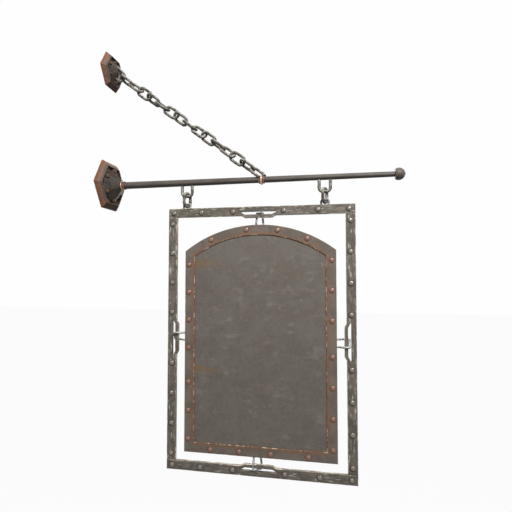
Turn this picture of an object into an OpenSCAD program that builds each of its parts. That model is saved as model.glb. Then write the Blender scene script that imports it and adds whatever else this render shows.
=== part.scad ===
// Hanging trade sign: a riveted frame with a blank arched panel, hung from a wall bracket with a chain stay.
// +X runs out from the wall along the bar, +Y away from the sign's front, +Z up.
// The origin lies on the wall, at the centre of the lower wall plate.

/* [Wall plates] */
// Corner radius of the lower wall plate
lower_plate_r = 110.5; // [105:0.5:132]
// Corner radius of the upper wall plate
upper_plate_r = 79; // [77:0.5:95]
// Height of the upper wall plate above the lower one
upper_plate_z = 473; // [395:1:568]
// Height of a plate's rim off the wall
rim_rise = 23.5; // [20:0.5:27]
// Thickness of a plate's floor
floor_t = 12; // [10:0.5:14]

/* [Bracket bar] */
// Reach of the bar from the wall to the end ball
bar_reach = 1117; // [1060:1:1340]
// Radius of the bar at the wall
bar_root_r = 14.5; // [13.5:0.1:15]
// Radius of the bar at its tip
bar_tip_r = 9.8; // [8.5:0.1:11.5]
// Radius of the end ball
ball_r = 22.3; // [19:0.1:27.4]

/* [Chain stay] */
// Distance from the wall to the middle of the collar that takes the chain
collar_x = 633.5; // [560:0.5:720]
// Radius of the bar's seat under that collar
collar_seat_r = 12; // [11:0.1:12.8]
// Number of links
links = 14; // [12:1:15]
// Diameter of a link's wire
chain_wire_d = 11.5; // [9:0.5:14]
// Distance between the two straight sides of a link, measured at the middle of the wire
link_spread = 33; // [31:0.5:38]
// Turn of each link about the chain from the one before it
link_twist = 55; // [50:1:65]

/* [Hangers] */
// Distance from the frame's wall side to the first hanger
hanger_inset_wall = 73; // [60:1:90]
// Distance from the frame's outer side to the second hanger
hanger_inset_tip = 109; // [90:1:125]
// Diameter of the wire of a hanger's link and of the staple above it
hanger_wire_d = 12; // [8.5:0.5:13]
// Height of the link's upper hinge below the bar's axis
upper_hinge_drop = 54; // [52:1:60]
// Height of the link's lower hinge below the bar's axis
lower_hinge_drop = 84; // [82:1:92]

/* [Frame] */
// Distance from the wall to the frame
frame_x = 264; // [220:1:315]
// Overall width of the frame
frame_w = 714; // [595:1:760]
// Overall height of the frame
frame_h = 1000; // [833:1:1200]
// Drop of the frame's top edge below the bar's axis
frame_drop = 102; // [101:1:104]
// Width of a frame bar
frame_bar_w = 35; // [33:0.5:42]
// Thickness of each of the two layers of the frame
frame_layer_t = 6; // [5:0.5:7]
// Width of the strap that bulges inward at the middle of each bar
strap_w = 13; // [11:0.5:14]
// Distance that the strap bulges inward
strap_bulge = 8; // [7:0.5:9]

/* [Panel] */
// Gap between the frame and the panel
panel_gap = 34.5; // [31:0.5:41]
// Rise of the panel's arched top
arch_rise = 98; // [82:1:118]
// Thickness of the middle sheet
sheet_t = 4; // [3.5:0.5:5]
// Thickness of the border strip on each face
border_t = 4; // [3.5:0.5:4.5]
// Width of the border strip
border_w = 38; // [32:1:46]

/* [Ties] */
// Diameter of the wire that ties the panel to the frame
tie_wire_d = 8; // [7:0.5:8.5]
// Distance between a tie's two legs
tie_spread = 27; // [22:1:32]
// Distance of each tie past the middle of its side, all in the same turning sense
tie_shift = 4.5; // [0:0.5:8]

/* [Rivets] */
// Head radius of a frame rivet
frame_rivet_r = 9.5; // [7.5:0.5:11.5]
// Head radius of a panel rivet
panel_rivet_r = 9.5; // [7.5:0.5:11.5]
// Distance from the middle of a bar to the nearest rivet
rivet_from_middle = 97.5; // [82:0.5:115]

/* [Hidden] */
$fn = 48;
ARC_FN = 360;
cut = 1;
LINK_NAMES = [for (i = [1 : links]) str("chain_link_", i < 10 ? "0" : "", i)];

IRON = "#6b6259";
RUSTY_IRON = "#8c5f46";
FRAME_STEEL = "#73706a";
PANEL_STEEL = "#6e6860";
COPPER = "#96705a";
CHAIN_STEEL = "#8c8780";
TIE_STEEL = "#96a09b";

// Clearances, named once and used for every fit of their kind
slide_gap = 0.1;
seat_gap = 0.05;
hinge_gap = 0.3;
sleeve_gap = 0.2;

// Wall plates: the rim's bevel and recess, and the six-sided boss turned so that its ridges meet the nuts
plate_edge_h = 3;
lower_rim_bevel = 24.5;
upper_rim_bevel = 17;
rim_lip = 3.5;
rim_clear = 2;
boss_edge_h = 5;
lower_boss_top_r = 18;
upper_boss_top_r = 14;
lower_boss_rise = 58;
upper_boss_rise = 38;
bore_play = 1.5;

// Corners of bent wire
knuckle = 0.2;

// Sleeve nuts, which take studs that stand out of the wall: what each place in a nut's list means,
// and the nuts of the lower plate, tapped M8, and of the upper plate, tapped M6
HEAD_R = 0;
HEAD_H = 1;
SLEEVE_R = 2;
THREAD_R = 3;
THREAD_DEPTH = 4;
lower_sleeve = [9, 6.5, 5.8, 3.4, 18];
upper_sleeve = [6.4, 5, 4.6, 2.5, 16];
head_crown = 1.6;
seat_margin = 1;
seat_wall = 1;

// Bar root: a shoulder inside the boss, a tenon through it and a nut behind it
shoulder_x = floor_t + 12;
tenon_r = 9.5;
nut_r = 19.5;
nut_t = 10;
nut_pocket_r = 23;

// Collars
root_collar_len = 16;
root_collar_r = 16.8;
root_bead_r = 2.7;
collar_len = 22;
collar_r = 15.5;
collar_bead_r = 4.6;
collar_seat_margin = 18;
collar_pin_x = collar_x - collar_len / 3;
pin_r = 2.5;
pin_sink = 0.5;
ball_flat = 13;
spigot_r = 6;
spigot_len = 24;
tip_r = 2;
tip_len = 2;

// Chain stay: the run from the staple's bow on the upper plate to the half link on the collar
staple_wire_d = 10;
staple_bow_r = 19;
staple_bow = [44.7, upper_plate_z - 20.7];
staple_low_angle = -130;
staple_high_end = [floor_t + 12, upper_plate_z + 25.8];
staple_low_end_x = floor_t + 4;
staple_hook_gap = 0.6;
link_least_gap = 0.25;
eye_centre = [collar_x - 17.9, 28.7];
eye_turn = 67.5;
chain_run = eye_centre - staple_bow;
chain_slope = atan2(-chain_run[1], chain_run[0]);
chain_dir = chain_run / norm(chain_run);
hook_depth = staple_bow_r - (staple_wire_d + chain_wire_d) / 2 - staple_hook_gap;
link_hold = hooked(link_spread / 2, chain_wire_d + link_least_gap, link_twist);
link_pitch = (norm(chain_run) - hook_depth - link_hold / 2) / (links + 0.5);
link_length = to_hundredths(link_pitch + link_hold);
first_link_roll = -22.5;
eye_roll = first_link_roll + (links - 1) * link_twist + eye_turn;
eye_slack = link_hold - hooked(link_spread / 2, chain_wire_d + link_least_gap, eye_turn);

// Hangers
bar_staple_spread = 41;
bar_staple_run = 10;
bar_staple_depth = 10;
frame_staple_wire_d = 8;
frame_staple_spread = 27;
frame_staple_run = 13;
frame_staple_depth = 14;
hanger_spread = 34;
hanger_turn = 24;
hanger_left_x = frame_x + hanger_inset_wall;
hanger_right_x = frame_x + frame_w - hanger_inset_tip;
hanger_top_z = -upper_hinge_drop + hanger_wire_d + hinge_gap;
hanger_bottom_z = -lower_hinge_drop - (frame_staple_wire_d + hanger_wire_d) / 2 - hinge_gap;

// Frame and panel, measured from the frame's centre
frame_cx = frame_x + frame_w / 2;
frame_cz = -frame_drop - frame_h / 2;
kerf = 3;
slot_half = 67;
ramp_half = 66;
flat_half = 52;
rivet_shank_r = 4;
corner_rivet_inset = 22;
rivet_head_h = 5;
top_rivet_step = 126;
side_rivet_end = 60;
side_rivets_per_half = 4;
panel_t = sheet_t + 2 * border_t;
panel_w = frame_w - 2 * (frame_bar_w + panel_gap);
panel_h = frame_h - 2 * (frame_bar_w + panel_gap);
arch_r = (pow(panel_w / 2, 2) + pow(arch_rise, 2)) / (2 * arch_rise);
arch_cz = panel_h / 2 - arch_r;
spring_z = panel_h / 2 - arch_rise;
panel_rivet_shank_r = 4.5;
panel_rivet_head_h = 4.5;
panel_rivet_inset = 15.5;
outer_rivet_inset = 104;
middle_rivets = [-46, 73];

// Rivets down each side of the panel: the highest one's drop below the arch's spring, the middle of the gap
// left for the tie, the lowest one's rise above the panel's foot, and how many lie above and below the gap
left_rivet_run = [51.5, -101.5, 50, 4, 3];
right_rivet_run = [36.5, 10, 46.5, 3, 4];
rivet_break = 65;

// Ties
tie_depth = 14;
tie_gap = 0.3;
tie_hump = 2.6;

// Radius of the bar at a distance x from the wall: two cones and the collar's straight seat between them
function seat_start() = collar_x - collar_len / 2 - collar_seat_margin;
function seat_end() = collar_x + collar_len / 2 + collar_seat_margin / 2;
function bar_r(x) =
    x < seat_start()
    ? bar_root_r + (collar_seat_r - bar_root_r) * (x - shoulder_x) / (seat_start() - shoulder_x)
    : x < seat_end() ? collar_seat_r
    : collar_seat_r + (bar_tip_r - collar_seat_r) * (x - seat_end()) / (bar_reach - seat_end());

// Distance by which two hooked wires reach past each other, so that their middle lines stay the least
// distance apart. Both are bent to bend_r and cross at an angle of twist. Thin wires come closest at the
// middle of their bends, and thick ones beside it.
function hooked(bend_r, least, twist) =
    let (share = pow(sin(twist / 2), 2), side = 2 * bend_r * share)
    least <= side ? least
    : (side - sqrt((1 - share) * (side * side - share * least * least))) / share;

// A length in whole hundredths of a millimetre, so that a link's bends meet its straight sides exactly
function to_hundredths(length) = round(100 * length) / 100;

// Shares n points evenly from a to b
function spread(a, b, n) = [for (i = [0 : n - 1]) a + (b - a) * i / (n - 1)];

// Laying out: what is drawn flat is stood against the wall, along the bar, or in the sign's own plane
module against_wall(z = 0) {
    translate([0, 0, z]) rotate([90, 0, 90]) children();
}

module along_bar(x = 0) {
    translate([x, 0, 0]) rotate([0, 90, 0]) children();
}

module in_sign_plane() {
    translate([frame_cx, 0, frame_cz]) rotate([90, 0, 0]) children();
}

module six_round(r, turn = 30) {
    for (k = [0 : 5]) rotate([0, 0, turn + 60 * k]) translate([r, 0, 0]) children();
}

// Wire work
module rod(a, b, r) {
    d = b - a;
    translate(a) rotate([0, acos(d[2] / norm(d)), atan2(d[1], d[0])]) cylinder(h = norm(d), r = r);
}

// A wire through the points, with a ball a little thicker than the wire at each corner
module bent_wire(points, r) {
    for (i = [0 : len(points) - 2]) rod(points[i], points[i + 1], r);
    for (i = [1 : len(points) - 2]) translate(points[i]) sphere(r + knuckle);
}

module bend(radius, r, angle) {
    rotate_extrude(angle = angle) translate([radius, 0]) circle(r);
}

// A closed oval link in the XY plane, its long axis along X, sized at the wire's middle
module oval_link(length, width, wire_d) {
    straight = length - width;
    for (s = [-1, 1]) {
        translate([s * straight / 2, 0, 0]) rotate([0, 0, -90 * s]) bend(width / 2, wire_d / 2, 180);
        translate([-straight / 2, s * width / 2, 0]) rotate([0, 90, 0])
            cylinder(h = straight, r = wire_d / 2);
    }
}

// A staple in the XY plane: a straight run through the origin along X, two bends, and legs up to leg_y
module staple(width, run, wire_d, leg_y) {
    r = (width - run) / 2;
    rotate([0, 90, 0]) translate([0, 0, -run / 2]) cylinder(h = run, r = wire_d / 2);
    for (s = [-1, 1]) {
        translate([s * run / 2, r, 0]) rotate([0, 0, s > 0 ? -90 : 180]) bend(r, wire_d / 2, 90);
        translate([s * width / 2, r, 0]) rotate([-90, 0, 0]) cylinder(h = leg_y - r, r = wire_d / 2);
    }
}

// A low dome of the given radius and height, standing on Z = 0
module dome(r, h) {
    ball = (r * r + h * h) / (2 * h);
    intersection() {
        translate([0, 0, h - ball]) sphere(ball);
        cylinder(h = h, r = r + cut);
    }
}

// A rivet through a stack from Z = low to Z = high, with a dome on each side
module rivet(low, high, shank_r, head_r, head_h) {
    translate([0, 0, low]) cylinder(h = high - low, r = shank_r);
    translate([0, 0, high]) dome(head_r, head_h);
    translate([0, 0, low]) mirror([0, 0, 1]) dome(head_r, head_h);
}

// A six-sided block whose sides rise straight to edge_h and then slope in to top_r at height h
module bevelled_hexagon(r, top_r, edge_h, h) {
    side = r * cos(30);
    slope = atan2(h - edge_h, side - top_r * cos(30));
    difference() {
        cylinder(h = h, r = r, $fn = 6);
        six_round(side) translate([0, 0, edge_h]) rotate([0, slope, 0])
            translate([-2 * r, -2 * r, 0]) cube([4 * r, 4 * r, 2 * r]);
    }
}

// Wall plates
function boss_r(plate_r, bevel) = (plate_r - bevel - rim_lip) * cos(30) - rim_clear / 2;
function nut_circle(plate_r, bevel, sleeve) =
    boss_r(plate_r, bevel) - sleeve[HEAD_R] - seat_margin - seat_wall;
function boss_height(at, base_r, top_r, rise) =
    floor_t + boss_edge_h + (base_r - at) * (rise - floor_t - boss_edge_h) / (base_r - top_r);
function seat_height(plate_r, bevel, sleeve, top_r, rise) =
    boss_height(nut_circle(plate_r, bevel, sleeve), boss_r(plate_r, bevel), top_r, rise) - seat_margin;

lower_circle = nut_circle(lower_plate_r, lower_rim_bevel, lower_sleeve);
upper_circle = nut_circle(upper_plate_r, upper_rim_bevel, upper_sleeve);
lower_seat = seat_height(lower_plate_r, lower_rim_bevel, lower_sleeve, lower_boss_top_r, lower_boss_rise);
upper_seat = seat_height(upper_plate_r, upper_rim_bevel, upper_sleeve, upper_boss_top_r, upper_boss_rise);

module wall_plate(plate_r, bevel, sleeve, circle) {
    inner_r = plate_r - bevel - rim_lip;
    difference() {
        bevelled_hexagon(plate_r, plate_r - bevel, plate_edge_h, rim_rise);
        translate([0, 0, floor_t]) cylinder(h = rim_rise, r = inner_r, $fn = 6);
        six_round(circle) translate([0, 0, -cut])
            cylinder(h = floor_t + 2 * cut, r = sleeve[SLEEVE_R] + sleeve_gap);
    }
}

module plate_boss(base_r, top_r, rise, sleeve, circle, seat) {
    difference() {
        translate([0, 0, floor_t]) {
            rotate([0, 0, 30]) bevelled_hexagon(base_r, top_r, boss_edge_h, rise - floor_t);
            six_round(circle) rotate([0, 0, 180])
                cylinder(h = seat - floor_t + seat_margin / 2, r = sleeve[HEAD_R] + seat_margin / 2);
        }
        six_round(circle) rotate([0, 0, 180]) {
            translate([0, 0, seat]) cylinder(h = rise, r = sleeve[HEAD_R] + seat_margin);
            translate([0, 0, floor_t - cut]) cylinder(h = rise, r = sleeve[SLEEVE_R] + sleeve_gap);
        }
    }
}

module sleeve_nuts(sleeve, circle, seat) {
    crown_r = head_crown * sleeve[HEAD_R];
    six_round(circle) difference() {
        union() {
            translate([0, 0, seat]) intersection() {
                cylinder(h = sleeve[HEAD_H], r = sleeve[HEAD_R], $fn = 6);
                translate([0, 0, sleeve[HEAD_H] - crown_r]) sphere(crown_r);
            }
            cylinder(h = seat, r = sleeve[SLEEVE_R]);
        }
        translate([0, 0, -cut]) cylinder(h = sleeve[THREAD_DEPTH] + cut, r = sleeve[THREAD_R]);
    }
}

module lower_wall_plate() {
    color(RUSTY_IRON) against_wall() difference() {
        wall_plate(lower_plate_r, lower_rim_bevel, lower_sleeve, lower_circle);
        translate([0, 0, -cut]) cylinder(h = floor_t + 2 * cut, r = nut_pocket_r);
    }
}

module upper_wall_plate() {
    color(RUSTY_IRON) against_wall(upper_plate_z)
        wall_plate(upper_plate_r, upper_rim_bevel, upper_sleeve, upper_circle);
}

module lower_plate_boss() {
    color(IRON) against_wall() difference() {
        plate_boss(boss_r(lower_plate_r, lower_rim_bevel), lower_boss_top_r, lower_boss_rise,
            lower_sleeve, lower_circle, lower_seat);
        translate([0, 0, floor_t - cut]) cylinder(h = lower_boss_rise, r = tenon_r + slide_gap);
        translate([0, 0, shoulder_x]) cylinder(h = lower_boss_rise, r = bar_root_r + slide_gap);
    }
}

module upper_plate_boss() {
    color(IRON) difference() {
        against_wall(upper_plate_z)
            plate_boss(boss_r(upper_plate_r, upper_rim_bevel), upper_boss_top_r, upper_boss_rise,
                upper_sleeve, upper_circle, upper_seat);
        staple_legs();
    }
}

module lower_sleeve_nuts() {
    color(RUSTY_IRON) against_wall() sleeve_nuts(lower_sleeve, lower_circle, lower_seat);
}

module upper_sleeve_nuts() {
    color(RUSTY_IRON) against_wall(upper_plate_z) sleeve_nuts(upper_sleeve, upper_circle, upper_seat);
}

// Bracket bar and what is fitted along it
module support_bar() {
    color(IRON) difference() {
        along_bar() rotate_extrude() polygon([
            [0, bore_play],
            [tenon_r, bore_play],
            [tenon_r, shoulder_x],
            [bar_root_r, shoulder_x],
            [collar_seat_r, seat_start()],
            [collar_seat_r, seat_end()],
            [bar_tip_r, bar_reach],
            [spigot_r, bar_reach],
            [spigot_r, bar_reach + spigot_len],
            [0, bar_reach + spigot_len]
        ]);
        for (x = [hanger_left_x, hanger_right_x]) bar_staple_wire(x);
        collar_pin_hole();
    }
}

module bar_root_nut() {
    color(IRON) along_bar(bore_play) difference() {
        cylinder(h = nut_t, r = nut_r, $fn = 6);
        translate([0, 0, -cut]) cylinder(h = nut_t + 2 * cut, r = tenon_r + slide_gap);
    }
}

module root_collar() {
    color(COPPER) along_bar(lower_boss_rise) rotate_extrude() difference() {
        union() {
            square([root_collar_r, root_collar_len]);
            translate([root_collar_r - root_bead_r / 2, root_bead_r]) circle(root_bead_r);
        }
        translate([0, -cut]) square([bar_root_r + slide_gap, root_collar_len + 2 * cut]);
    }
}

module collar_pin_hole() {
    translate([collar_pin_x, 0, 0]) cylinder(h = 3 * collar_r, r = pin_r, center = true);
}

module collar_block() {
    along_bar(collar_x - collar_len / 2) rotate_extrude() {
        square([collar_r, collar_len]);
        translate([collar_r, collar_len / 2]) circle(collar_bead_r);
    }
}

module chain_collar() {
    color(COPPER) difference() {
        collar_block();
        along_bar() cylinder(h = bar_reach, r = collar_seat_r + seat_gap);
        collar_pin_hole();
    }
}

module chain_collar_pin() {
    color(IRON) translate([collar_pin_x, 0, 0])
        cylinder(h = 2 * (collar_r - pin_sink), r = pin_r, center = true);
}

module finial_ball() {
    color(IRON) difference() {
        union() {
            intersection() {
                along_bar(bar_reach + ball_flat) sphere(ball_r);
                along_bar(bar_reach) cylinder(h = 2 * ball_r, r = ball_r + cut);
            }
            along_bar(bar_reach + ball_flat) cylinder(h = ball_r + tip_len, r = tip_r);
        }
        along_bar(bar_reach - cut) cylinder(h = spigot_len + 2 * cut, r = spigot_r + slide_gap);
    }
}

// Chain stay
function on_bow(angle) = [
    staple_bow[0] + staple_bow_r * cos(angle),
    0,
    staple_bow[1] + staple_bow_r * sin(angle)
];

function staple_high_angle() = atan2(staple_high_end[1] - staple_bow[1], staple_high_end[0] - staple_bow[0])
    - acos(staple_bow_r / norm(staple_high_end - staple_bow));

module staple_legs() {
    low = on_bow(staple_low_angle);
    low_end_z = low[2] + (low[0] - staple_low_end_x) * tan(-90 - staple_low_angle);
    rod(on_bow(staple_high_angle()), [staple_high_end[0], 0, staple_high_end[1]], staple_wire_d / 2);
    rod(low, [staple_low_end_x, 0, low_end_z], staple_wire_d / 2);
}

module chain_staple() {
    color(CHAIN_STEEL) {
        staple_legs();
        translate([staple_bow[0], 0, staple_bow[1]]) rotate([90, 0, 0]) rotate([0, 0, staple_low_angle])
            bend(staple_bow_r, staple_wire_d / 2, staple_high_angle() - staple_low_angle);
        for (angle = [staple_low_angle, staple_high_angle()])
            translate(on_bow(angle)) sphere(staple_wire_d / 2 + knuckle);
    }
}

module on_chain(i, roll, slack = 0) {
    centre = staple_bow + (hook_depth + link_length / 2 + (i - 1) * link_pitch + slack) * chain_dir;
    translate([centre[0], 0, centre[1]]) rotate([0, chain_slope, 0]) rotate([roll, 0, 0])
        oval_link(link_length, link_spread, chain_wire_d);
}

module chain_link(i) {
    color(CHAIN_STEEL) on_chain(i, first_link_roll + (i - 1) * link_twist);
}

module chain_collar_eye() {
    color(CHAIN_STEEL) difference() {
        on_chain(links + 1, eye_roll, eye_slack);
        collar_block();
        along_bar() cylinder(h = bar_reach, r = collar_seat_r + 2 * slide_gap);
    }
}

// Hangers
module bar_staple_wire(x) {
    translate([x, 0, -upper_hinge_drop]) rotate([90, 0, 0])
        staple(bar_staple_spread, bar_staple_run, hanger_wire_d,
            upper_hinge_drop - bar_r(x) + bar_staple_depth);
}

module bar_staple(x) {
    color(CHAIN_STEEL) bar_staple_wire(x);
}

module hanger_link(x) {
    color(CHAIN_STEEL) translate([x, 0, (hanger_top_z + hanger_bottom_z) / 2])
        rotate([0, 0, -hanger_turn]) rotate([0, -90, 0])
            oval_link(hanger_top_z - hanger_bottom_z, hanger_spread, hanger_wire_d);
}

module frame_staple_wire(x) {
    translate([x, 0, -lower_hinge_drop]) mirror([0, 0, 1]) rotate([90, 0, 0])
        staple(frame_staple_spread, frame_staple_run, frame_staple_wire_d,
            frame_drop - lower_hinge_drop + frame_staple_depth);
}

module frame_staple(x) {
    color(TIE_STEEL) frame_staple_wire(x);
}

// Frame: each side is drawn as a top bar, outer edge at the given height, and turned to its place
function side_rivets() = spread(rivet_from_middle, frame_h / 2 - side_rivet_end, side_rivets_per_half);
function top_rivets() = [rivet_from_middle, rivet_from_middle + top_rivet_step];
function both_ways(list) = concat([for (v = list) v], [for (v = list) -v]);

module top_side() { translate([0, frame_h / 2]) children(); }
module bottom_side() { rotate(180) translate([0, frame_h / 2]) children(); }
module left_side() { rotate(90) translate([0, frame_w / 2]) children(); }
module right_side() { rotate(-90) translate([0, frame_w / 2]) children(); }

module eye_bar(length, rivets) {
    strap_top = strap_w - frame_bar_w;
    difference() {
        polygon([
            [-length / 2, 0],
            [length / 2, 0],
            [length / 2, -frame_bar_w],
            [ramp_half, -frame_bar_w],
            [flat_half, -frame_bar_w - strap_bulge],
            [-flat_half, -frame_bar_w - strap_bulge],
            [-ramp_half, -frame_bar_w],
            [-length / 2, -frame_bar_w]
        ]);
        polygon([
            [-slot_half, strap_top + kerf],
            [slot_half, strap_top + kerf],
            [slot_half, strap_top],
            [ramp_half, strap_top],
            [flat_half, strap_top - strap_bulge],
            [-flat_half, strap_top - strap_bulge],
            [-ramp_half, strap_top],
            [-slot_half, strap_top]
        ]);
        for (x = both_ways(rivets)) translate([x, -frame_bar_w / 2]) circle(rivet_shank_r);
    }
}

module corner_places() {
    for (sx = [-1, 1], sy = [-1, 1])
        translate([sx * (frame_w / 2 - corner_rivet_inset), sy * (frame_h - frame_bar_w) / 2]) children();
}

module front_layer() {
    color(FRAME_STEEL) in_sign_plane() linear_extrude(frame_layer_t) children();
}

module back_layer() {
    color(FRAME_STEEL) translate([0, frame_layer_t, 0])
        in_sign_plane() linear_extrude(frame_layer_t) children();
}

module both_frame_staples() {
    for (x = [hanger_left_x, hanger_right_x]) frame_staple_wire(x);
}

module frame_front_top() {
    difference() {
        front_layer() difference() {
            top_side() eye_bar(frame_w, top_rivets());
            corner_places() circle(rivet_shank_r);
        }
        both_frame_staples();
    }
}

module frame_front_bottom() {
    front_layer() difference() {
        bottom_side() eye_bar(frame_w, top_rivets());
        corner_places() circle(rivet_shank_r);
    }
}

module frame_front_left() {
    front_layer() left_side() eye_bar(frame_h - 2 * frame_bar_w, side_rivets());
}

module frame_front_right() {
    front_layer() right_side() eye_bar(frame_h - 2 * frame_bar_w, side_rivets());
}

module frame_back_top() {
    difference() {
        back_layer() top_side() eye_bar(frame_w - 2 * frame_bar_w, top_rivets());
        both_frame_staples();
    }
}

module frame_back_bottom() {
    back_layer() bottom_side() eye_bar(frame_w - 2 * frame_bar_w, top_rivets());
}

module frame_back_left() {
    back_layer() difference() {
        left_side() eye_bar(frame_h, side_rivets());
        corner_places() circle(rivet_shank_r);
    }
}

module frame_back_right() {
    back_layer() difference() {
        right_side() eye_bar(frame_h, side_rivets());
        corner_places() circle(rivet_shank_r);
    }
}

module frame_rivet() {
    rivet(-frame_layer_t, frame_layer_t, rivet_shank_r, frame_rivet_r, rivet_head_h);
}

module rivet_row(places) {
    for (x = both_ways(places)) translate([x, -frame_bar_w / 2, 0]) frame_rivet();
}

module frame_corner_rivets() { color(FRAME_STEEL) in_sign_plane() corner_places() frame_rivet(); }
module frame_top_rivets() { color(FRAME_STEEL) in_sign_plane() top_side() rivet_row(top_rivets()); }
module frame_bottom_rivets() { color(FRAME_STEEL) in_sign_plane() bottom_side() rivet_row(top_rivets()); }
module frame_left_rivets() { color(FRAME_STEEL) in_sign_plane() left_side() rivet_row(side_rivets()); }
module frame_right_rivets() { color(FRAME_STEEL) in_sign_plane() right_side() rivet_row(side_rivets()); }

// Panel: a sheet between two border strips, all with the same arched outline, drawn about the panel's centre
module arched_outline(inset = 0) {
    half_w = panel_w / 2 - inset;
    bottom = inset - panel_h / 2;
    intersection() {
        translate([-half_w, bottom]) square([2 * half_w, panel_h - 2 * inset]);
        union() {
            translate([0, arch_cz]) circle(arch_r - inset, $fn = ARC_FN);
            translate([-half_w, bottom]) square([2 * half_w, spring_z - bottom - inset]);
        }
    }
}

function side_run(run) = concat(
    spread(spring_z - run[0], run[1] + rivet_break, run[3]),
    spread(run[1] - rivet_break, run[2] - panel_h / 2, run[4])
);

module panel_rivet_places() {
    side_x = panel_w / 2 - panel_rivet_inset;
    bottom_z = panel_rivet_inset - panel_h / 2;
    outer = panel_w / 2 - outer_rivet_inset;
    across = concat([-outer], middle_rivets, [outer]);
    for (z = side_run(left_rivet_run)) translate([-side_x, z]) children();
    for (z = side_run(right_rivet_run)) translate([side_x, z]) children();
    for (x = across) {
        translate([x, arch_cz + sqrt(pow(arch_r - panel_rivet_inset, 2) - x * x)]) children();
        translate([-x, bottom_z]) children();
    }
}

module panel_layer(from_y, thickness) {
    translate([0, from_y + thickness, 0]) in_sign_plane() linear_extrude(thickness) difference() {
        children();
        panel_rivet_places() circle(panel_rivet_shank_r);
    }
}

module all_tie_grooves() {
    in_sign_plane() {
        top_side() tie_grooves();
        bottom_side() tie_grooves();
        left_side() tie_grooves();
        right_side() tie_grooves();
    }
}

module panel_sheet() {
    color(PANEL_STEEL) difference() {
        panel_layer(-sheet_t / 2, sheet_t) arched_outline();
        all_tie_grooves();
    }
}

module border_strip(from_y) {
    difference() {
        panel_layer(from_y, border_t) difference() {
            arched_outline();
            arched_outline(border_w);
        }
        all_tie_grooves();
    }
}

module panel_border_front() { color(PANEL_STEEL) border_strip(-sheet_t / 2 - border_t); }
module panel_border_back() { color(PANEL_STEEL) border_strip(sheet_t / 2); }

module panel_rivets() {
    color(COPPER) in_sign_plane() panel_rivet_places()
        rivet(-panel_t / 2, panel_t / 2, panel_rivet_shank_r, panel_rivet_r, panel_rivet_head_h);
}

// Ties: from the panel's edge, past the strap's front, back through the slot and down behind the strap
module tie_wire() {
    r = tie_wire_d / 2;
    edge = -frame_bar_w - panel_gap;
    strap_inner = -frame_bar_w - strap_bulge;
    slot_y = strap_inner + strap_w + r + tie_gap;
    near_edge = edge + 1.5 * r;
    half = tie_spread / 2;
    out = frame_layer_t + r + tie_gap;
    translate([tie_shift, 0, 0]) bent_wire([
        [half, edge - tie_depth, 0],
        [half, near_edge, 0],
        [half, strap_inner - r, out],
        [half, slot_y + tie_hump, out],
        [half - tie_wire_d, slot_y, frame_layer_t - tie_gap],
        [tie_wire_d - half, slot_y, tie_gap - frame_layer_t],
        [-half, slot_y + tie_hump, -out],
        [-half, strap_inner - r, -out],
        [-half, near_edge, 0],
        [-half, edge - tie_depth, 0]
    ], r);
}

// The grooves for a tie's two legs, cut into the sheet and both border strips
module tie_grooves() {
    r = tie_wire_d / 2;
    for (s = [-1, 1]) translate([tie_shift + s * tie_spread / 2, -frame_bar_w - panel_gap - tie_depth, 0])
        rotate([-90, 0, 0]) cylinder(h = 2 * tie_depth, r = r);
}

module panel_tie_top() { color(TIE_STEEL) in_sign_plane() top_side() tie_wire(); }
module panel_tie_bottom() { color(TIE_STEEL) in_sign_plane() bottom_side() tie_wire(); }
module panel_tie_left() { color(TIE_STEEL) in_sign_plane() left_side() tie_wire(); }
module panel_tie_right() { color(TIE_STEEL) in_sign_plane() right_side() tie_wire(); }

lower_wall_plate();
upper_wall_plate();
lower_plate_boss();
upper_plate_boss();
lower_sleeve_nuts();
upper_sleeve_nuts();
support_bar();
bar_root_nut();
root_collar();
chain_collar();
chain_collar_pin();
chain_collar_eye();
finial_ball();
chain_staple();
for (i = [1 : links])
    chain_link(i);
bar_staple(hanger_left_x);  // bar_staple_left
bar_staple(hanger_right_x);  // bar_staple_right
hanger_link(hanger_left_x);  // hanger_link_left
hanger_link(hanger_right_x);  // hanger_link_right
frame_staple(hanger_left_x);  // frame_staple_left
frame_staple(hanger_right_x);  // frame_staple_right
frame_front_top();
frame_front_bottom();
frame_front_left();
frame_front_right();
frame_back_top();
frame_back_bottom();
frame_back_left();
frame_back_right();
frame_corner_rivets();
frame_top_rivets();
frame_bottom_rivets();
frame_left_rivets();
frame_right_rivets();
panel_sheet();
panel_border_front();
panel_border_back();
panel_rivets();
panel_tie_top();
panel_tie_bottom();
panel_tie_left();
panel_tie_right();
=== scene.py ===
"""The looks of a hanging trade sign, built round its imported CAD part.

Everything stands in metres in the part's own frame: +X runs out from the wall along the bar, +Y away from
the front of the sign and +Z up, and the origin lies on the wall at the centre of the lower wall plate.
The sizes in the classes are in millimetres, as a smith would give them.
"""

import logging
import math
from dataclasses import dataclass, field
from enum import Enum
from typing import Any, Callable, ClassVar, Iterable, Mapping, Sequence

import bmesh
import bpy
import numpy as np
from mathutils import Euler, Matrix, Vector
from mathutils.geometry import delaunay_2d_cdt


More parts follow.
